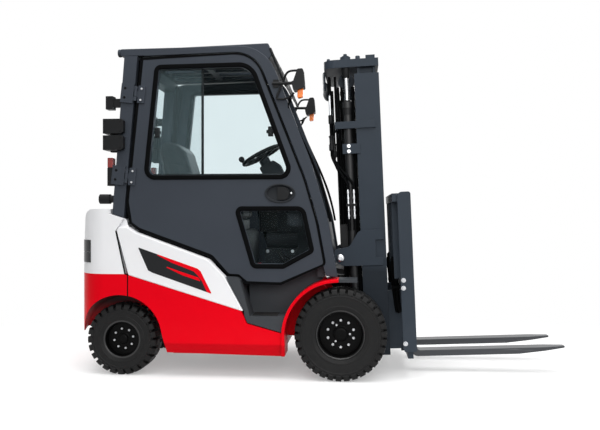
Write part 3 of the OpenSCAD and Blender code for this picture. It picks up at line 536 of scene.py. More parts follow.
def doorSeals(side, hand):
    bm = bmesh.new()
    half = doorTrim["gasketHalf"]
    for edge in (windowEdge, lowWindowEdge):
        middle = roundOutline(growOutline(edge, -doorTrim["gasketIn"]), 10)
        addLoop(bm, middle, softSection(half, -4.0, doorTrim["gasketProud"], 5.0), cabHalf, side)
        addLoop(bm, middle, softSection(half, -5.0, 4.0, 4.0), cabHalf - doorTrim["innerFace"], side)
        lip = roundOutline(growOutline(edge, -doorTrim["lipIn"]), 10)
        addLoop(bm, lip, softSection(2.6, -34.0, 0.0, 1.0, 1), cabHalf, side)
    addPiece("windowGaskets_" + hand, bm, sealRubber, "door_" + hand)
    bm = bmesh.new()
    tight, wide, inner = [roundOutline(growOutline(doorEdge, grow), 12)
                          for grow in (-1.0, 2.5, -1.0 - doorTrim["sealWidth"])]
    seal = []  # broad behind and below, where it clears the rear cover; a thin bead in front and above
    for a, b, c in zip(tight, wide, inner):
        broad = c.y < 640 or c.x < -1050 or c.y + c.x < -40
        bead = b, b.lerp(c, doorTrim["sealFront"]), doorTrim["beadProud"]
        seal.append((a, c, doorTrim["sealProud"]) if broad else bead)
    back = side * (cabHalf - doorTrim["sealDepth"])
    for (a, b, low), (c, d, high) in zip(seal, seal[1:] + seal[:1]):
        if (c - a).length > 0.01:
            sidePlate(bm, [a, c, d, b], back, side * (cabHalf + min(low, high)))
    addPiece("doorSeal_" + hand, bm, sealRubber, "door_" + hand)
    jamb = [(rearX - 50, 1010), (rearX + 20, 1010), (rearX + 15, 1120), (rearX + 112, 2040), (rearX + 40, 2040),
            (rearX - 58, 1120)]
    platePiece("jambSeal_" + hand, jamb, *(side * y for y in doorTrim["jamb"]), sealRubber)


def slidingPane(side, hand):
    x = doorTrim["dividerX"]
    outline = roundOutline([(-1238, 1292, 18), (x, 1292, 2), (x, 1974, 2), (-1168, 1974, 18)], 4)
    faces = [side * y for y in doorTrim["pane"]]
    platePiece("slidingPane_" + hand, outline, *faces, slidingGlass, "door_" + hand, "window_glass")
    bm = bmesh.new()
    addBox(bm, at(x - 9, side * 451, 1288), at(x + 7, side * 462, 1978))
    addBox(bm, at(-1235, side * 452, 1286), at(-330, side * 461, 1298))
    addBox(bm, at(-1166, side * 452, 1968), at(-600, side * 461, 1980))
    for kx in (-1186, -446):  # catches on the pane and at the front edge
        addBox(bm, at(kx - 18, side * 436, 1536), at(kx + 14, side * 466, 1598))
        addBox(bm, at(kx - 30, side * 441, 1556), at(kx + 20, side * 452, 1578))
    addPiece("windowTrack_" + hand, bm, deepBlack, "door_" + hand, bevel=2.5)


def ovalPoints(a, b, y, count=44):
    turns = [2 * pi * i / count for i in range(count)]
    return [at(doorTrim["handleX"] + a * cos(t), y, doorTrim["handleZ"] + b * sin(t)) for t in turns]


def doorHandle(side, hand):
    bm = bmesh.new()
    section = [(97.5, 61.5, 484), (97.5, 61.5, 491), (94, 58, 493.5), (88, 53, 493), (84.3, 50.3, 490), (82, 48, 474),
               (70, 40, 471)]
    rings = [[bm.verts.new(p) for p in ovalPoints(a, b, side * y)] for a, b, y in section]
    addSkin(bm, rings)
    bm.faces.new(rings[-1])
    addPiece("handleDish_" + hand, bm, darkPlastic, "door_" + hand)
    x, z = doorTrim["handleX"], doorTrim["handleZ"]
    flap = [(x - 16, z - 41, 6), (x + 44, z - 41, 34), (x + 62, z, 20), (x + 44, z + 41, 34), (x - 16, z + 41, 6)]
    platePiece("handleFlap_" + hand, roundOutline(flap, 5), side * 472, side * 488, deepBlack, "door_" + hand,
               bevel=3.0)
    bm = bmesh.new()
    addLathe(bm, at(x + 72, side * 474, z + 2), Vector((0, side, 0)),
             [(0, 0), (6.5, 0), (6.5, 16), (5, 17.5), (0, 17.5)], 20)
    addPiece("handleLock_" + hand, bm, zincSteel, "door_" + hand)


hinges = {"heights": (1284, 1813), "lean": radians(6.47), "doorHole": (38, 36), "pillarHole": (-72, 30)}


def hingePoint(height, along, up, y):  # on a hinge's own slanting axis
    x = rearX - 4 + (height - hinges["heights"][0]) * tan(hinges["lean"])
    c, s = cos(hinges["lean"]), sin(hinges["lean"])
    return at(x + along * c + up * s, y, height - along * s + up * c)


def hingeBolts(side, hand):
    outward = Vector((0, side, 0))
    bolts, pins, holeShades = bmesh.new(), bmesh.new(), bmesh.new()
    for height in hinges["heights"]:
        x, z = hinges["doorHole"]
        for up in (-1, 1):
            addBolt(bolts, hingePoint(height, x, up * z, side * (cabHalf + 9.8)), outward, 8.0, False)
        # black discs on the pillar leaf stand in for its holes: painted shade
        x, z = hinges["pillarHole"]
        for up in (-z, z):
            holeShade = hingePoint(height, x, up, side * (cabHalf + 11.4))
            addLathe(holeShades, holeShade, outward, [(0, 0), (9, 0), (9, 1.2), (5, 0.6), (0, 0.6)], 20)
        addLathe(pins, hingePoint(height, 0, 45, side * (cabHalf + 12)), Vector((0.11, 0, 0.99)),
                 [(0, 0), (9, 0), (9, 3), (6, 5), (0, 5)], 20)
    addPiece("hingeBolts_" + hand, bolts, zincSteel, "door_" + hand)
    addPiece("hingePins_" + hand, pins, slatePaint)
    addPiece("hingeHoleShades_" + hand, holeShades, deepBlack)


for side, hand in hands:
    doorSeals(side, hand)
    if side < 0:  # the left door has one plain pane
        slidingPane(side, hand)
    doorHandle(side, hand)
    hingeBolts(side, hand)
print("doors trimmed")

# flanks: badge, tail strips, panel seams
badge = {
    "proud": 0.9,
    "Field": [(-1290, 827), (-903, 694), (-883, 676), (-812, 535), (-1197, 666), (-1224, 680)],
    "Stripe": [(-1201, 796), (-903, 694), (-883, 676), (-812, 535), (-843, 547), (-876, 616), (-890, 634), (-903, 651),
               (-927, 675), (-958, 688), (-1068, 729)],
    "Dash": [(-1150, 721), (-1006, 672), (-899, 638), (-881, 612), (-999, 650)],
}


def flankBadge(side, hand):
    layers = (("Field", badgeBlack, 0.0), ("Stripe", badgeRed, 0.7), ("Dash", badgeRed, 0.7))
    for name, material, lift in layers[:3 if side < 0 else 2]:  # the dash is on the right flank alone
        points = roundOutline([(x, z, 3) for x, z in reversed(badge[name])], 4)
        face = side * (bodyHalf + badge["proud"] + lift)
        platePiece("badge%s_%s" % (name, hand), points, side * (bodyHalf - 3), face, material)


tailLamp = {"tailX": -1712, "corner": 200, "turn": (31, 60), "steps": 12, "faces": (-6.0, 3.0),
            "bands": (("tailLampUpper_", 795, 872), ("tailLampLower_", 727, 793))}


def tailStrip(side, hand):  # lamp bent round the counterweight's corner
    corner, steps = tailLamp["corner"], tailLamp["steps"]
    first, last = tailLamp["turn"]
    turns = [radians(first + (last - first) * i / steps) for i in range(steps + 1)]

    def spot(a, lift, z):
        reach = corner + lift
        return at(tailLamp["tailX"] + corner - reach * cos(a), side * (bodyHalf - corner + reach * sin(a)), z)

    for name, low, high in tailLamp["bands"]:
        bm = bmesh.new()
        back, front = [[[bm.verts.new(spot(a, lift, z)) for a in turns] for z in (low, high)]
                       for lift in tailLamp["faces"]]
        for i in range(steps):
            bm.faces.new((back[0][i], back[0][i + 1], back[1][i + 1], back[1][i]))
            bm.faces.new((front[1][i], front[1][i + 1], front[0][i + 1], front[0][i]))
            for level in (0, 1):
                bm.faces.new((back[level][i], back[level][i + 1], front[level][i + 1], front[level][i]))
        for i in (0, steps):
            bm.faces.new((back[0][i], back[1][i], front[1][i], front[0][i]))
        addPiece(name + hand, bm, smokeLens, bevel=1.5)


seams = {
    "half": 3.6,
    "run": [(rearX + 17, 512), (rearX + 17, 652), (rearX - 1, 656), (rearX - 61, 931)],
    "filler": [(-800, 726), (-718, 646), (-650, 643), (-650, 622), (-730, 622), (-800, 690)],
    "fold": [(rearX - 52, 948), (rearX - 36, 1000), (rearX - 16, 1010), (rearX - 6, 1000), (rearX + 1, 975),
             (rearX + 14, 950)],
}


def panelSeams(side, hand):  # shadow lines between panels
    bm = bmesh.new()
    for (x0, z0), (x1, z1) in zip(seams["run"], seams["run"][1:]):
        along = Vector((x1 - x0, z1 - z0)).normalized()
        dx, dz = -along.y * seams["half"], along.x * seams["half"]
        quad = [(x0 + dx, z0 + dz), (x1 + dx, z1 + dz), (x1 - dx, z1 - dz), (x0 - dx, z0 - dz)]
        sidePlate(bm, quad, side * (bodyHalf - 6), side * (bodyHalf + 0.8))
    sidePlate(bm, seams["filler"], side * 440, side * 478)
    addPiece("panelSeams_" + hand, bm, sealRubber)
    platePiece("coverFold_" + hand, seams["fold"], side * 484, side * 497, whitePaint, bevel=2.0)


for side, hand in hands:
    flankBadge(side, hand)
    tailStrip(side, hand)
    panelSeams(side, hand)
print("flanks trimmed")

# tyres and wheels
wheels = {
    "front": {
        "centre": (0, 459.5, 288.5), "radius": 288.5, "width": 205.0, "rim": 152.0, "lugs": 34, "flange": 1.0,
        "nuts": 10, "nutRing": 84, "nutFace": 25, "nutSize": 10.2, "screws": 3, "cap": 41, "capRise": 26,
    },
    "rear": {
        "centre": (-1412, 420, 230), "radius": 230.0, "width": 160.0, "rim": 120.0, "lugs": 25, "flange": 0.8,
        "nuts": 8, "nutRing": 64, "nutFace": 28, "nutSize": 8.2, "screws": 0, "cap": 29, "capRise": 21,
    },
}


def wheelSeat(end, side):  # centre, outward axis, and a ray for each angle round it
    x, y, z = wheels[end]["centre"]
    outward = Vector((0, side, 0))
    across = outward.orthogonal().normalized()
    upward = outward.cross(across)
    return at(x, side * y, z), outward, lambda angle: across * cos(angle) + upward * sin(angle)


def lugTyre(end, side, hand):
    size = wheels[end]
    centre, outward, ray = wheelSeat(end, side)
    radius, half, rim, lugs = size["radius"], size["width"] / 2, size["rim"], size["lugs"]
    shoulder = radius - 38
    section = [
        (rim, half - 16), (rim + 3, half - 9), (rim + 10, half - 5), (rim + 20, half - 3.5), (rim + 23, half - 1.5),
        (rim + 29, half - 1.2), (rim + 32, half - 3), (rim + (shoulder - rim) * 0.55, half - 1.6),
        (shoulder - 16, half - 1.8), (shoulder - 13, half - 0.2), (shoulder - 8, half - 0.2),
        (shoulder - 5, half - 2.4), (shoulder, half - 2.6), (shoulder + 4, half), (shoulder + 18, half - 2),
        (radius - 9, half - 6), (radius - 3.0, half - 12), (radius - 0.6, half - 21),
    ]
    section += [(radius, h) for h in (half - 34, half - 46, half - 56, half - 66, 12, 6, 3)]
    section += [(r, -h) for r, h in reversed(section)]
    phases = (0.0, 0.14, 0.165, 0.25, 0.335, 0.36, 0.5, 0.64, 0.665, 0.75, 0.835, 0.86)
    around = lugs * len(phases)
    lugReach, lugFade = half - 50, 14.0
    bm = bmesh.new()
    rings = []
    for i in range(around):
        turn = i // len(phases) + phases[i % len(phases)]
        out = ray(2 * pi * turn / lugs)
        ring = []
        for r, h in section:
            phase = (turn + (0.5 if h < 0 else 0.0)) % 1.0
            notch = 1.0 if abs(phase - 0.5) < 0.15 else 0.0  # 1 in a gap between lugs
            reach = abs(h)
            sink = 0.0
            if r > shoulder + 1:
                sink = notch * (1.0 if reach > lugReach else max(0.0, 1 - (lugReach - reach) / lugFade))
            pull = sink * (22.0 if r > radius - 10 else 9.0 if r > shoulder + 10 else 0.0)
            if reach < 5 and r > radius - 1:
                pull = max(pull, 7.0)  # groove round the middle
            sideIn = sink * (9.0 if r < radius - 4 else 3.0)
            depth = (h - copysign(sideIn, h)) / 1000
            ring.append(bm.verts.new(centre + out * ((r - pull) / 1000) + outward * depth))
        rings.append(ring)
    addSkin(bm, rings, True)
    tyre = addPiece(end + "TyreTread_" + hand, bm, treadRubber, end + "_wheel_" + hand, "tyre", smooth=28.0)
    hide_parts(end + "_tyre_" + hand)


def wheelNuts(end, side, hand):
    size, wheel = wheels[end], end + "_wheel_" + hand
    rim, face, cap = size["rim"], size["nutFace"], size["cap"]
    centre, outward, ray = wheelSeat(end, side)
    bm = bmesh.new()
    for i in range(size["nuts"]):
        spot = ray(2 * pi * (i + 0.25) / size["nuts"]) * (size["nutRing"] / 1000)
        addNut(bm, centre + spot + outward * (face / 1000), outward, size["nutSize"])
    for i in range(size["screws"]):
        spot = ray(2 * pi * (i + 0.1) / size["screws"]) * 0.058
        addBolt(bm, centre + spot + outward * (face / 1000), outward, 4.2)
    addPiece(end + "WheelNuts_" + hand, bm, zincSteel, wheel)
    bm = bmesh.new()
    flange = [(rim - 3, 60), (rim + 5, 72), (rim + 7.5, 80), (rim + 6, 86.5), (rim - 1, 89), (rim - 7, 86),
              (rim - 12, 76), (rim - 16, 50), (rim - 14, 40)]
    profile = [(r, h * size["flange"]) for r, h in flange]
    addLathe(bm, centre, outward, profile + [profile[0]], 72)
    bmesh.ops.remove_doubles(bm, verts=bm.verts, dist=1e-6)
    flat = [f for f in bm.faces if len(f.verts) > 4]
    bmesh.ops.delete(bm, geom=flat, context="FACES")
    addPiece(end + "RimFlange_" + hand, bm, flangePaint, wheel)
    bm = bmesh.new()
    top = face + size["capRise"]
    profile = [(cap + 9, face - 1), (cap + 9, face + 4), (cap + 3, face + 7), (cap + 2, top - 6), (cap - 4, top),
               (cap - 14, top + 1.5), (0, top + 2)]
    addLathe(bm, centre, outward, profile, 48)
    addPiece(end + "HubCap_" + hand, bm, rimPaint, wheel)


for end in wheels:
    for side, hand in hands:
        lugTyre(end, side, hand)
        wheelNuts(end, side, hand)
print("tyres and wheels made")

# mast: leaf chains, hoses, fittings, bolts
chains = {"pitch": 19.05, "plate": 17.0, "y": 214.0}


def leafChain(bm, u, y, top, bottom):  # rows of figure-eight plates on pins
    count = int((top - bottom) / chains["pitch"])
    pitch = (top - bottom) / count
    half = chains["plate"] / 2 * 0.78
    outline = []
    for k in range(12):
        a = 2 * pi * k / 12
        waist = 0.82 if abs(cos(a)) < 0.4 else 1.0
        reach = pitch * 0.5 * copysign(abs(cos(a)) ** 0.5, cos(a))
        outline.append((half * sin(a) * waist, reach + half * 0.45 * cos(a)))
    for i in range(count):
        z = top - pitch * (i + 0.5)
        for row in (-9.0, -3.0, 3.0, 9.0) if i % 2 else (-6.0, 0.0, 6.0):
            addPlate(bm, outline, lambda p, k: onMast(u + p[0], y + row + (-1.2, 1.2)[k], z + p[1]))
        pin = onMast(u, y - 12.5, z + pitch * 0.5)
        addLathe(bm, pin, Vector((0, 1, 0)), [(0, 0), (3.4, 0), (3.4, 25), (0, 25)], 8)


def liftChains():
    for name, node, u, top, bottom, first, last in (
            ("chainFrontRun", "chain_front", 159.2, 1630, 101, "inner_mast", "carriage"),
            ("chainRearRun", "chain_rear", 36.8, 1630, 1291, "inner_mast", "mast")):
        bm = bmesh.new()
        for side in (-1, 1):
            leafChain(bm, u, side * chains["y"], top, bottom)
        run = addPiece(name, bm, chainSteel, None, "chain_steel")
        tuple(onMast(u, 0, top))
        tuple(onMast(u, 0, bottom))
        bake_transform(run)
        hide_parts(node)


hoses = {"radius": 8.5, "pipeRadius": 8.0, "backU": -16, "backY": 262, "coupleY": 337, "ribs": 380}


def mastHoses(side, hand):
    black, bright, ferrule = bmesh.new(), bmesh.new(), bmesh.new()
    radius, thick, coupleY = hoses["radius"], hoses["pipeRadius"], side * hoses["coupleY"]

    def line(shift, *heights):
        return [onMast(hoses["backU"] + shift * 0.2, side * (hoses["backY"] - shift), w) for w in heights]

    for shift in (0, 24):  # two lines down the back edge, the outer one with a bright pipe
        addTube(black if shift else bright, line(shift, 1540, 1500, 1450, 1405), thick - 1, 12)
        addTube(black, line(shift, 1660, 1630, 1590, 1536), thick, 12)
        addLathe(ferrule, *line(shift, 1350), mastUp, [(0, 0), (12, 0), (14, 4), (14, 52), (11, 58), (0, 58)], 16)
        addTube(black, line(shift, 1360, 1300, 1262), thick + 1, 12)
        socket = [(0, 0), (13, 0), (17, 5), (17, 40), (13, 46), (13, 86), (16, 90), (16, 100), (0, 100)]
        addLathe(ferrule, *line(shift, 1170), mastUp, socket, 16)
    for u, y, top, bottom in ((24, 250, 1660, 420), (42, 252, 1590, 150), (64, 247, 1590, 150), (82, 226, 1400, 180)):
        addTube(black, [onMast(u, side * y, top + (bottom - top) * i / 8) for i in range(9)], radius, 12)
    for u in (80, 118):  # steel couplings beside the cylinder
        coupling = [(0, 0)]
        for base in range(0, 190, 38):
            coupling += [(6.4, base), (6.4, base + 16), (9.4, base + 18), (9.4, base + 30), (7.2, base + 32)]
        coupling += [(6.4, 196), (0, 196)]
        addLathe(bright, onMast(u, coupleY, 712), mastUp, coupling, 12)
        addTube(black, [onMast(u, coupleY, w) for w in (716, 690, 660, 640)], radius, 12)
    ribs = hoses["ribs"]  # ribbed sleeve beside the cylinder
    sleeve = [onMast(138.5, side * 297, 1580 - 1430 * i / ribs) for i in range(ribs + 1)]
    addTube(black, sleeve, lambda t: 12.4 + 1.6 * cos(pi * t * ribs), 10)
    gland = [(17.5, 0), (31, 0), (31, 86), (25, 96), (17.5, 96), (17.5, 0)]
    addLathe(ferrule, onMast(98, side * 290, 1396), mastUp, gland, 28)
    addBox(ferrule, onMast(66, side * 327, 800), onMast(134, side * 348, 812), mastTurn)
    addBox(ferrule, onMast(16, side * 225, 530), onMast(70, side * 285, 680), mastTurn)  # hose block
    addPiece("mastPipes_" + hand, black, sealRubber, "mast")
    addPiece("mastCouplings_" + hand, bright, zincSteel, "mast")
    addPiece("mastFerrules_" + hand, ferrule, deepBlack, "mast")
    for n, (u0, y0, u1) in enumerate(((-16, 262, 80), (-11, 238, 118))):
        span = u1 - u0
        route = [(u0, y0, 1172), (u0 - 1, y0 + 2, 1140), (u0 + span * 0.12, y0 + 22, 1100),
                 (u0 + span * 0.42, y0 + 50 + n * 20, 1040), (u0 + span * 0.75, 336 - 6 * (1 - n), 985),
                 (u1 - 4, 337, 945), (u1, 337, 925), (u1, 337, 906)]
        path = smoothPath([onMast(u, side * y, w) for u, y, w in route], 4)
        bm = bmesh.new()
        addTube(bm, path, radius, 12)
        hose = addPiece("mastHose%d_%s" % (n + 1, hand), bm, sealRubber, "mast")
        length = sum((b - a).length for a, b in zip(path, path[1:]))


def mastBolts(side, hand):
    outward = Vector((0, side, 0))
    bm = bmesh.new()
    for w in (1156, 1190):  # cylinder clamp
        addBolt(bm, onMast(98, side * 333, w), outward, 8.0)
    pin = onMast(13.5, side * 349, 465)
    addLathe(bm, pin, outward, [(0, -2), (24, -2), (24, 3), (20, 7), (12, 8), (11, 4), (0, 4)], 32)
    addPiece("mastBolts_" + hand, bm, zincSteel, "mast")
    bm = bmesh.new()
    for u, w in ((405.7, 319), (403.7, 270), (402, -78)):
        addBolt(bm, onMast(u, side * 469.8, w), outward, 10.0)
    addPiece("backrestBolts_" + hand, bm, zincSteel, "carriage")
    bm = bmesh.new()
    yoke = 1757
    for u, y, w, profile, sides in (
            (98, 290, yoke + 19, [(0, 0), (24, 0), (24, 8), (13, 9), (13, 20), (11, 22), (0, 22)], 6),
            (-14, 250, yoke - 1, [(0, 0), (11, 0), (11, 22), (9, 25), (0, 25)], 16),
            (180, 214, yoke - 1, [(0, 0), (30, 0), (30, 18), (16, 20), (16, 40), (13, 44), (0, 44)], 24)):
        addLathe(bm, onMast(u, side * y, w), mastUp, profile, sides)
    addPiece("yokeNuts_" + hand, bm, mastPaint, "inner_mast")
    # black sleeves over the tops of the lift rods: painted shadow under the yoke
    bm = bmesh.new()
    addLathe(bm, onMast(98, side * 290, 1640), mastUp, [(16.2, 0), (23, 0), (25, 3), (25, 92), (16.2, 92)], 28)
    addPiece("rodShadeSleeves_" + hand, bm, deepBlack, "inner_mast")


def carriageHoses():  # bundle behind the backrest
    bm = bmesh.new()
    for side in (-1, 1):
        for k, (u, y) in enumerate(((352, 262), (376, 250), (364, 286))):
            route = [(u + 6, y, 455), (u - 8, y + 4, 400), (u - 4, y, 320), (u + 4 * k, y - 6, 240), (u + 8, y, 150),
                     (u + 16, y + 8, 90)]
            addTube(bm, smoothPath([onMast(a, side * b, w) for a, b, w in route], 5), 10.0, 10)
        for w in (430, 250):
            addBox(bm, onMast(340, side * 240, w), onMast(398, side * 300, w + 16), mastTurn)
    addPiece("carriageHoses", bm, sealRubber, "carriage")


def yokeGuard():  # bent plate that hangs behind the hose run
    bm = bmesh.new()
    turns = [radians(-90 + 180 * i / 24) for i in range(25)]
    outer = [onMast(-45 - 22 * cos(a), 200 * sin(a), 0) for a in turns]
    inner = [onMast(-40 - 18 * cos(a), 194 * sin(a), 0) for a in turns]
    addPlate(bm, outer + inner[::-1], lambda p, k: p + mastUp * (1.58, 1.708)[k])
    addPiece("yokeGuard", bm, mastPaint, "inner_mast", bevel=2.0)


liftChains()
yokeGuard()
carriageHoses()
for side, hand in hands:
    mastHoses(side, hand)
    mastBolts(side, hand)
print("mast trimmed")

# lamps and cab trim
lampArms = {
    "upper": [(-404, 0, 1768), (-396, 0, 1800), (-368, 0, 1862), (-345, 14, 1915), (-318, 30, 1934), (-268, 40, 1936)],
    "lower": [(-404, 0, 1768), (-360, 6, 1764), (-320, 16, 1776), (-292, 24, 1800)],
    "wire": [(-300, -8, 4, 1790), (-316, -6, -4, 1752), (-330, 3, -14, 1700), (-262, 4, -30, 1540),
             (-186, 5, -42, 1370), (-128, 6, -48, 1215), (-92, 5, -50, 1090), (-72, 5, -54, 990)],
}


def lampTrim(side, hand):
    def route(points):
        return smoothPath([at(x, side * (cabHalf + 10 + out), z) for x, out, z in points], 6)

    bm = bmesh.new()
    addTube(bm, route(lampArms["upper"]), 7.0, 12)
    addTube(bm, route(lampArms["lower"]), 6.0, 12)
    addPiece("lampArms_" + hand, bm, deepBlack)
    bm = bmesh.new()
    for k in range(3):
        addTube(bm, route([(x + step * k, out, z) for x, step, out, z in lampArms["wire"]]), 3.2, 8)
    addPiece("lampWires_" + hand, bm, sealRubber)


def roofTrim():
    bm = bmesh.new()
    for i in range(9):  # bars across the sloping front of the roof
        t = i / 8
        addTube(bm, [at(-452 + 96 * t, y, 2098 - 230 * t) for y in (-423, 423)], 5.0, 10)
    for y in (-422, -140, 140, 422):
        addTube(bm, [at(-456, y, 2106), at(-352, y, 1860)], 9.0 if abs(y) > 400 else 6.0, 10)
    addPiece("frontGuardBars", bm, deepBlack)
    bm = bmesh.new()
    for side in (-1, 1):
        cap = [(0, -12), (24, -12), (26, 0), (25, 7), (20, 10), (0, 10)]
        addLathe(bm, at(-1436, side * 455, 2085), Vector((-1, 0, 0)), cap, 28)
    addPiece("railEndCaps", bm, slatePaint)


def rearLampTrim(side, hand):
    bm = bmesh.new()
    for z in (1450, 1556):
        for k in range(5):
            zz = z + 16 + 15 * k
            addBox(bm, at(-1526.5, side * 426, zz), at(-1522, side * 520, zz + 6))
    addBox(bm, at(-1524.5, side * 432, 1728), at(-1520, side * 476, 1796))
    addPiece("rearLampGlass_" + hand, bm, smokeLens, bevel=1.2)
    bm = bmesh.new()
    for z in (1466, 1530, 1572, 1636):
        for x in (-1512, -1412):
            addBolt(bm, at(x, side * 526.6, z), Vector((0, side, 0)), 4.0, False)
    addPiece("rearLampScrews_" + hand, bm, deepBlack)


roofTrim()
for side, hand in hands:
    lampTrim(side, hand)
    rearLampTrim(side, hand)
print("lamps and roof trimmed")

# operator's place
steering = {"centre": (-572, 0, 1455), "rake": radians(28), "rim": 140.0, "grip": 13.0}


def steeringWheel():
    centre = at(*steering["centre"])
    axis = Vector((-sin(steering["rake"]), 0, cos(steering["rake"])))
    ahead = Vector((cos(steering["rake"]), 0, sin(steering["rake"])))
    sideways = axis.cross(ahead)

    def spot(r, a, h):
        return centre + (ahead * cos(a) + sideways * sin(a)) * (r / 1000) + axis * (h / 1000)

    bm = bmesh.new()
    ring = [spot(steering["rim"], 2 * pi * i / 72, 0) for i in range(72)]
    addTube(bm, ring, lambda t: steering["grip"] + 0.8 * cos(2 * pi * t * 24), 14, True)
    for a in (90, 210, 330):
        turn = radians(a)
        addTube(bm, [spot(r, turn, h) for r, h in ((24, -12), (70, -9), (110, -4), (137, 0))], lambda t: 12 - 3 * t, 10)
    addLathe(bm, centre, axis, [(14.2, -30), (36, -30), (42, -22), (42, 4), (34, 13), (20, 16), (0, 17)], 40)
    knob = spot(steering["rim"], pi, 8)
    addLathe(bm, knob, axis, [(0, 0), (9, 0), (9, 14), (17, 20), (21, 32), (19, 45), (11, 53), (0, 55)], 24)
    wheel = addPiece("steeringWheelGrip", bm, deepBlack, "steering_wheel", "black_grip", smooth=50.0)
    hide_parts("steering_wheel")


seat = {"voxel": 0.006, "pressure": 4.0, "frames": 20, "cap": 0.016,
        "seamY": 0.135, "seamHalf": 0.012, "seamDepth": 0.007}


def blockShape(outline, halfWidth, taper):
    bm = bmesh.new()
    points = roundOutline(outline, 5)
    low = min(p.y for p in points)
    high = max(p.y for p in points)

    def place(p, k):
        share = (p.y - low) / (high - low)
        return at(p.x, (-1, 1)[k] * (halfWidth - taper * share), p.y)

    addPlate(bm, points, place)
    return bm


def inflate(piece):
    remesh = piece.modifiers.new("remesh", "REMESH")
    remesh.mode, remesh.voxel_size = "VOXEL", seat["voxel"]
    bakeModifiers(piece)
    rest = [v.co.copy() for v in piece.data.vertices]
    cloth = piece.modifiers.new("cloth", "CLOTH")
    cloth.settings.use_pressure = True
    cloth.settings.uniform_pressure_force = seat["pressure"]
    cloth.settings.effector_weights.gravity = 0.0
    cloth.settings.quality = 4
    for step in range(1, seat["frames"] + 1):
        scene.frame_set(step)
    bakeModifiers(piece)
    scene.frame_set(1)
    for vertex, start in zip(piece.data.vertices, rest):
        shift = vertex.co - start
        if shift.length > seat["cap"]:
            vertex.co = start + shift * (seat["cap"] / shift.length)


def bakeModifiers(piece):
    bpy.context.view_layer.update()
    graph = bpy.context.evaluated_depsgraph_get()
    fresh = bpy.data.meshes.new_from_object(piece.evaluated_get(graph), depsgraph=graph)
    piece.modifiers.clear()
    piece.data = fresh


def seatCushions():
    shapes = (
        ("seatPad", [(-1120, 1012, 22), (-672, 1012, 30), (-656, 1074, 30), (-1040, 1066, 40)], 226, 6),
        ("seatBackPad", [(-1170, 1096, 20), (-1052, 1088, 36), (-1058, 1330, 300), (-1118, 1520, 70),
                         (-1232, 1552, 50), (-1262, 1500, 60), (-1226, 1300, 200)], 214, 34),
    )
    for name, outline, halfWidth, taper in shapes:
        bm = blockShape(outline, halfWidth, taper)
        piece = addPiece(name, bm, vinylDark, None, "seat_vinyl", bevel=16.0, segments=3)
        inflate(piece)
        mesh = piece.data
        for vertex in mesh.vertices:  # sewn lines beside the middle panel
            near = max(0.0, 1 - abs(abs(vertex.co.y) - seat["seamY"]) / seat["seamHalf"])
            vertex.co -= vertex.normal * (seat["seamDepth"] * near)
        mesh.materials.clear()
        mesh.materials.append(vinylDark)
        mesh.materials.append(vinylGrey)
        for polygon in mesh.polygons:
            polygon.material_index = 1 if abs(polygon.center.y) < seat["seamY"] else 0
            polygon.use_smooth = True
        mesh.update()
        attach(piece, "truck")
        if name == "seatPad":
            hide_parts("seat")


def cabinTrim():
    bm = bmesh.new()
    for x in (-780, -750, -720):  # lever knobs
        knob = [(0, 0), (12, 2), (16, 12), (15, 26), (9, 34), (0, 36)]
        addLathe(bm, at(x, -298, 1250), Vector((0, 0, 1)), knob, 20)
    addPiece("leverKnobs", bm, deepBlack)
    bm = bmesh.new()
    addBox(bm, at(-352, -110, 1100), at(-330, 90, 1180), Matrix.Rotation(radians(35), 4, "Y"))
    for y in (-150, -30):  # pedals
        addBox(bm, at(-418, y - 36, 690), at(-404, y + 36, 800), Matrix.Rotation(radians(-32), 4, "Y"))
        addTube(bm, [at(-411, y, 745), at(-360, y, 720)], 8.0, 10)
    addPiece("dashDisplay", bm, deepBlack, bevel=4.0)
    bm = bmesh.new()
    for x in (-535, -356):  # screws of the heater box
        addBolt(bm, at(x, 40.2, 774), Vector((0, -1, 0)), 8.0)
    addPiece("heaterScrews", bm, zincSteel)
    bm = bmesh.new()
    addBox(bm, at(-600, 70, 912), at(-465, 170, 1070))
    addPiece("fuseHousing", bm, deepBlack, bevel=8.0)
    duct = [(-470, 908, 8), (-318, 908, 8), (-318, 996, 10), (-420, 1062, 10), (-470, 1062, 8)]
    platePiece("heaterDuct", roundOutline(duct, 3), 74, 166, darkPlastic, bevel=6.0)
    tray = [(-62, 640), (18, 634), (18, 668), (-44, 678)]
    platePiece("cowlTray", tray, -200, 200, deepBlack, bevel=3.0)
    bm = bmesh.new()
    for i in range(9):  # ribs on the mat
        x = -625 + 18 * i
        addBox(bm, at(x, -380, 599), at(x + 8, 380, 604))
    addPiece("matRibs", bm, matRubber, bevel=1.0)
    bm = bmesh.new()
    for side in (-1, 1):
        for i in range(7):
            y = 372 + 20 * i
            addBox(bm, at(-560, side * y, 395), at(-400, side * (y + 9), 400))
    addPiece("stepRibs", bm, matRubber, bevel=1.0)


steeringWheel()
seatCushions()
cabinTrim()
print("operator's place made")

# tail: tow pin
def tailTrim():
    bm = bmesh.new()
    addLathe(bm, at(-1664, 0, 340), Vector((0, 0, 1)), [(0, 0), (15.5, 0), (15.5, 225), (0, 225)], 24)
    loop = ((-4, 563), (-22, 590), (0, 612), (22, 590), (4, 563))
    addTube(bm, smoothPath([at(-1664, y, z) for y, z in loop], 6), 5.0, 10)
    addPiece("towPin", bm, zincSteel)


tailTrim()
print("tail trimmed")

# floor, light and camera
studio = {"world": 0.72, "floor": 0.7, "floorLift": 0.3, "fade": (1.15, 2.1), "lens": 39.78, "sensor": 36.0,
          "shift": -0.0013, "yaw": radians(4.969), "eye": (105.8, -4657.8, 1037.9)}


def seenDirectly(wire):  # by the camera, in metal and through glass
    rays = ("Camera", "Glossy", "Transmission")
    camera, metal, glass = [wire.node("LightPath", out="Is %s Ray" % ray) for ray in rays]
    return (camera + metal + glass).between(0, 1)


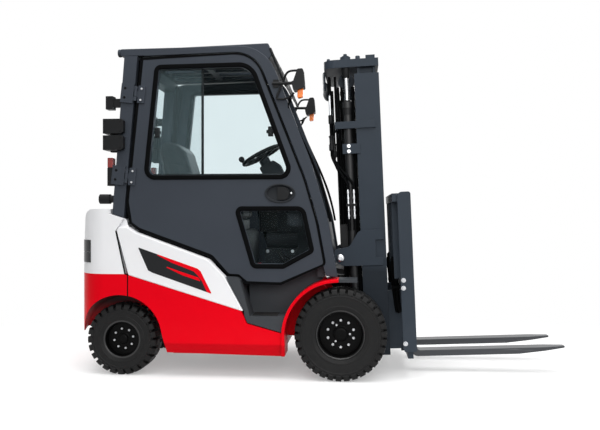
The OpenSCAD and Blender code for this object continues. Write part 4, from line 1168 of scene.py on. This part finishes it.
def studioFloor():
    bm = bmesh.new()
    bmesh.ops.create_grid(bm, x_segments=1, y_segments=1, size=40.0)
    mesh = bpy.data.meshes.new("studioFloor")
    bm.to_mesh(mesh)
    bm.free()
    floor = bpy.data.objects.new("studioFloor", mesh)
    scene.collection.objects.link(floor)
    material, place, shader = startMaterial("floorPaper")
    tone = place.noise(1.5, 3.0).between(0.2, 0.8)
    level = studio["floor"]
    plug(shader, "Base Color", tone.blend((level * 0.99,) * 3 + (1,), (level,) * 3 + (1,)))
    plug(shader, "Roughness", 0.9)
    plug(shader, "Specular IOR Level", 0.1)
    seen = seenDirectly(place)
    lift = {"Color": (1, 1, 1, 1), "Strength": seen * studio["floorLift"]}
    glow = place.node("Emission", None, lift, "Emission")
    body = Wire(place.tree, shader.outputs["BSDF"])
    both = place.node("AddShader", None, {0: body, 1: glow}, "Shader")
    paper = place.node("Emission", None, {"Color": (1, 1, 1, 1), "Strength": seen}, "Emission")
    distance = place.node("VectorMath", {"operation": "LENGTH"}, {0: place.stretched(0.55, 1.0, 1.0)}, "Value")
    away = distance.between(*studio["fade"])
    faded = place.node("MixShader", None, {0: away, 1: both, 2: paper}, "Shader")
    place.tree.links.new(faded.socket, place.tree.nodes["Material Output"].inputs["Surface"])
    mesh.materials.append(material)


def studioWorld():
    world = bpy.data.worlds.new("studioWorld")
    scene.world = world
    world.use_nodes = True
    seen = seenDirectly(Wire(world.node_tree))
    back = world.node_tree.nodes["Background"]
    back.inputs["Color"].default_value = (1, 1, 1, 1)
    level = studio["world"] + seen * (1 - studio["world"])
    world.node_tree.links.new(level.socket, back.inputs["Strength"])


def softLight(name, spot, aim, size, power):
    data = bpy.data.lights.new(name, "AREA")
    data.shape, data.size, data.size_y = "RECTANGLE", size[0], size[1]
    data.energy = power
    lightObject = bpy.data.objects.new(name, data)
    scene.collection.objects.link(lightObject)
    lightObject.location = spot
    lightObject.rotation_euler = (Vector(aim) - Vector(spot)).to_track_quat("-Z", "Y").to_euler()


def photoCamera():
    data = bpy.data.cameras.new("photoCamera")
    data.lens, data.sensor_width, data.shift_y = studio["lens"], studio["sensor"], studio["shift"]
    camera = bpy.data.objects.new("photoCamera", data)
    scene.collection.objects.link(camera)
    camera.location = at(*studio["eye"])
    camera.rotation_euler = (pi / 2, 0, studio["yaw"])
    scene.camera = camera


studioFloor()
studioWorld()
softLight("topLight", (0.2, -1.2, 5.2), (0, 0, 0.8), (5.0, 4.0), 210)
softLight("frontLight", (1.6, -6.0, 3.0), (0, 0, 0.9), (5.0, 3.0), 175)
softLight("backLight", (-1.5, 5.5, 3.5), (0, 0, 0.9), (5.0, 3.0), 115)
photoCamera()
scene.view_settings.view_transform = "Standard"
print("studio set")
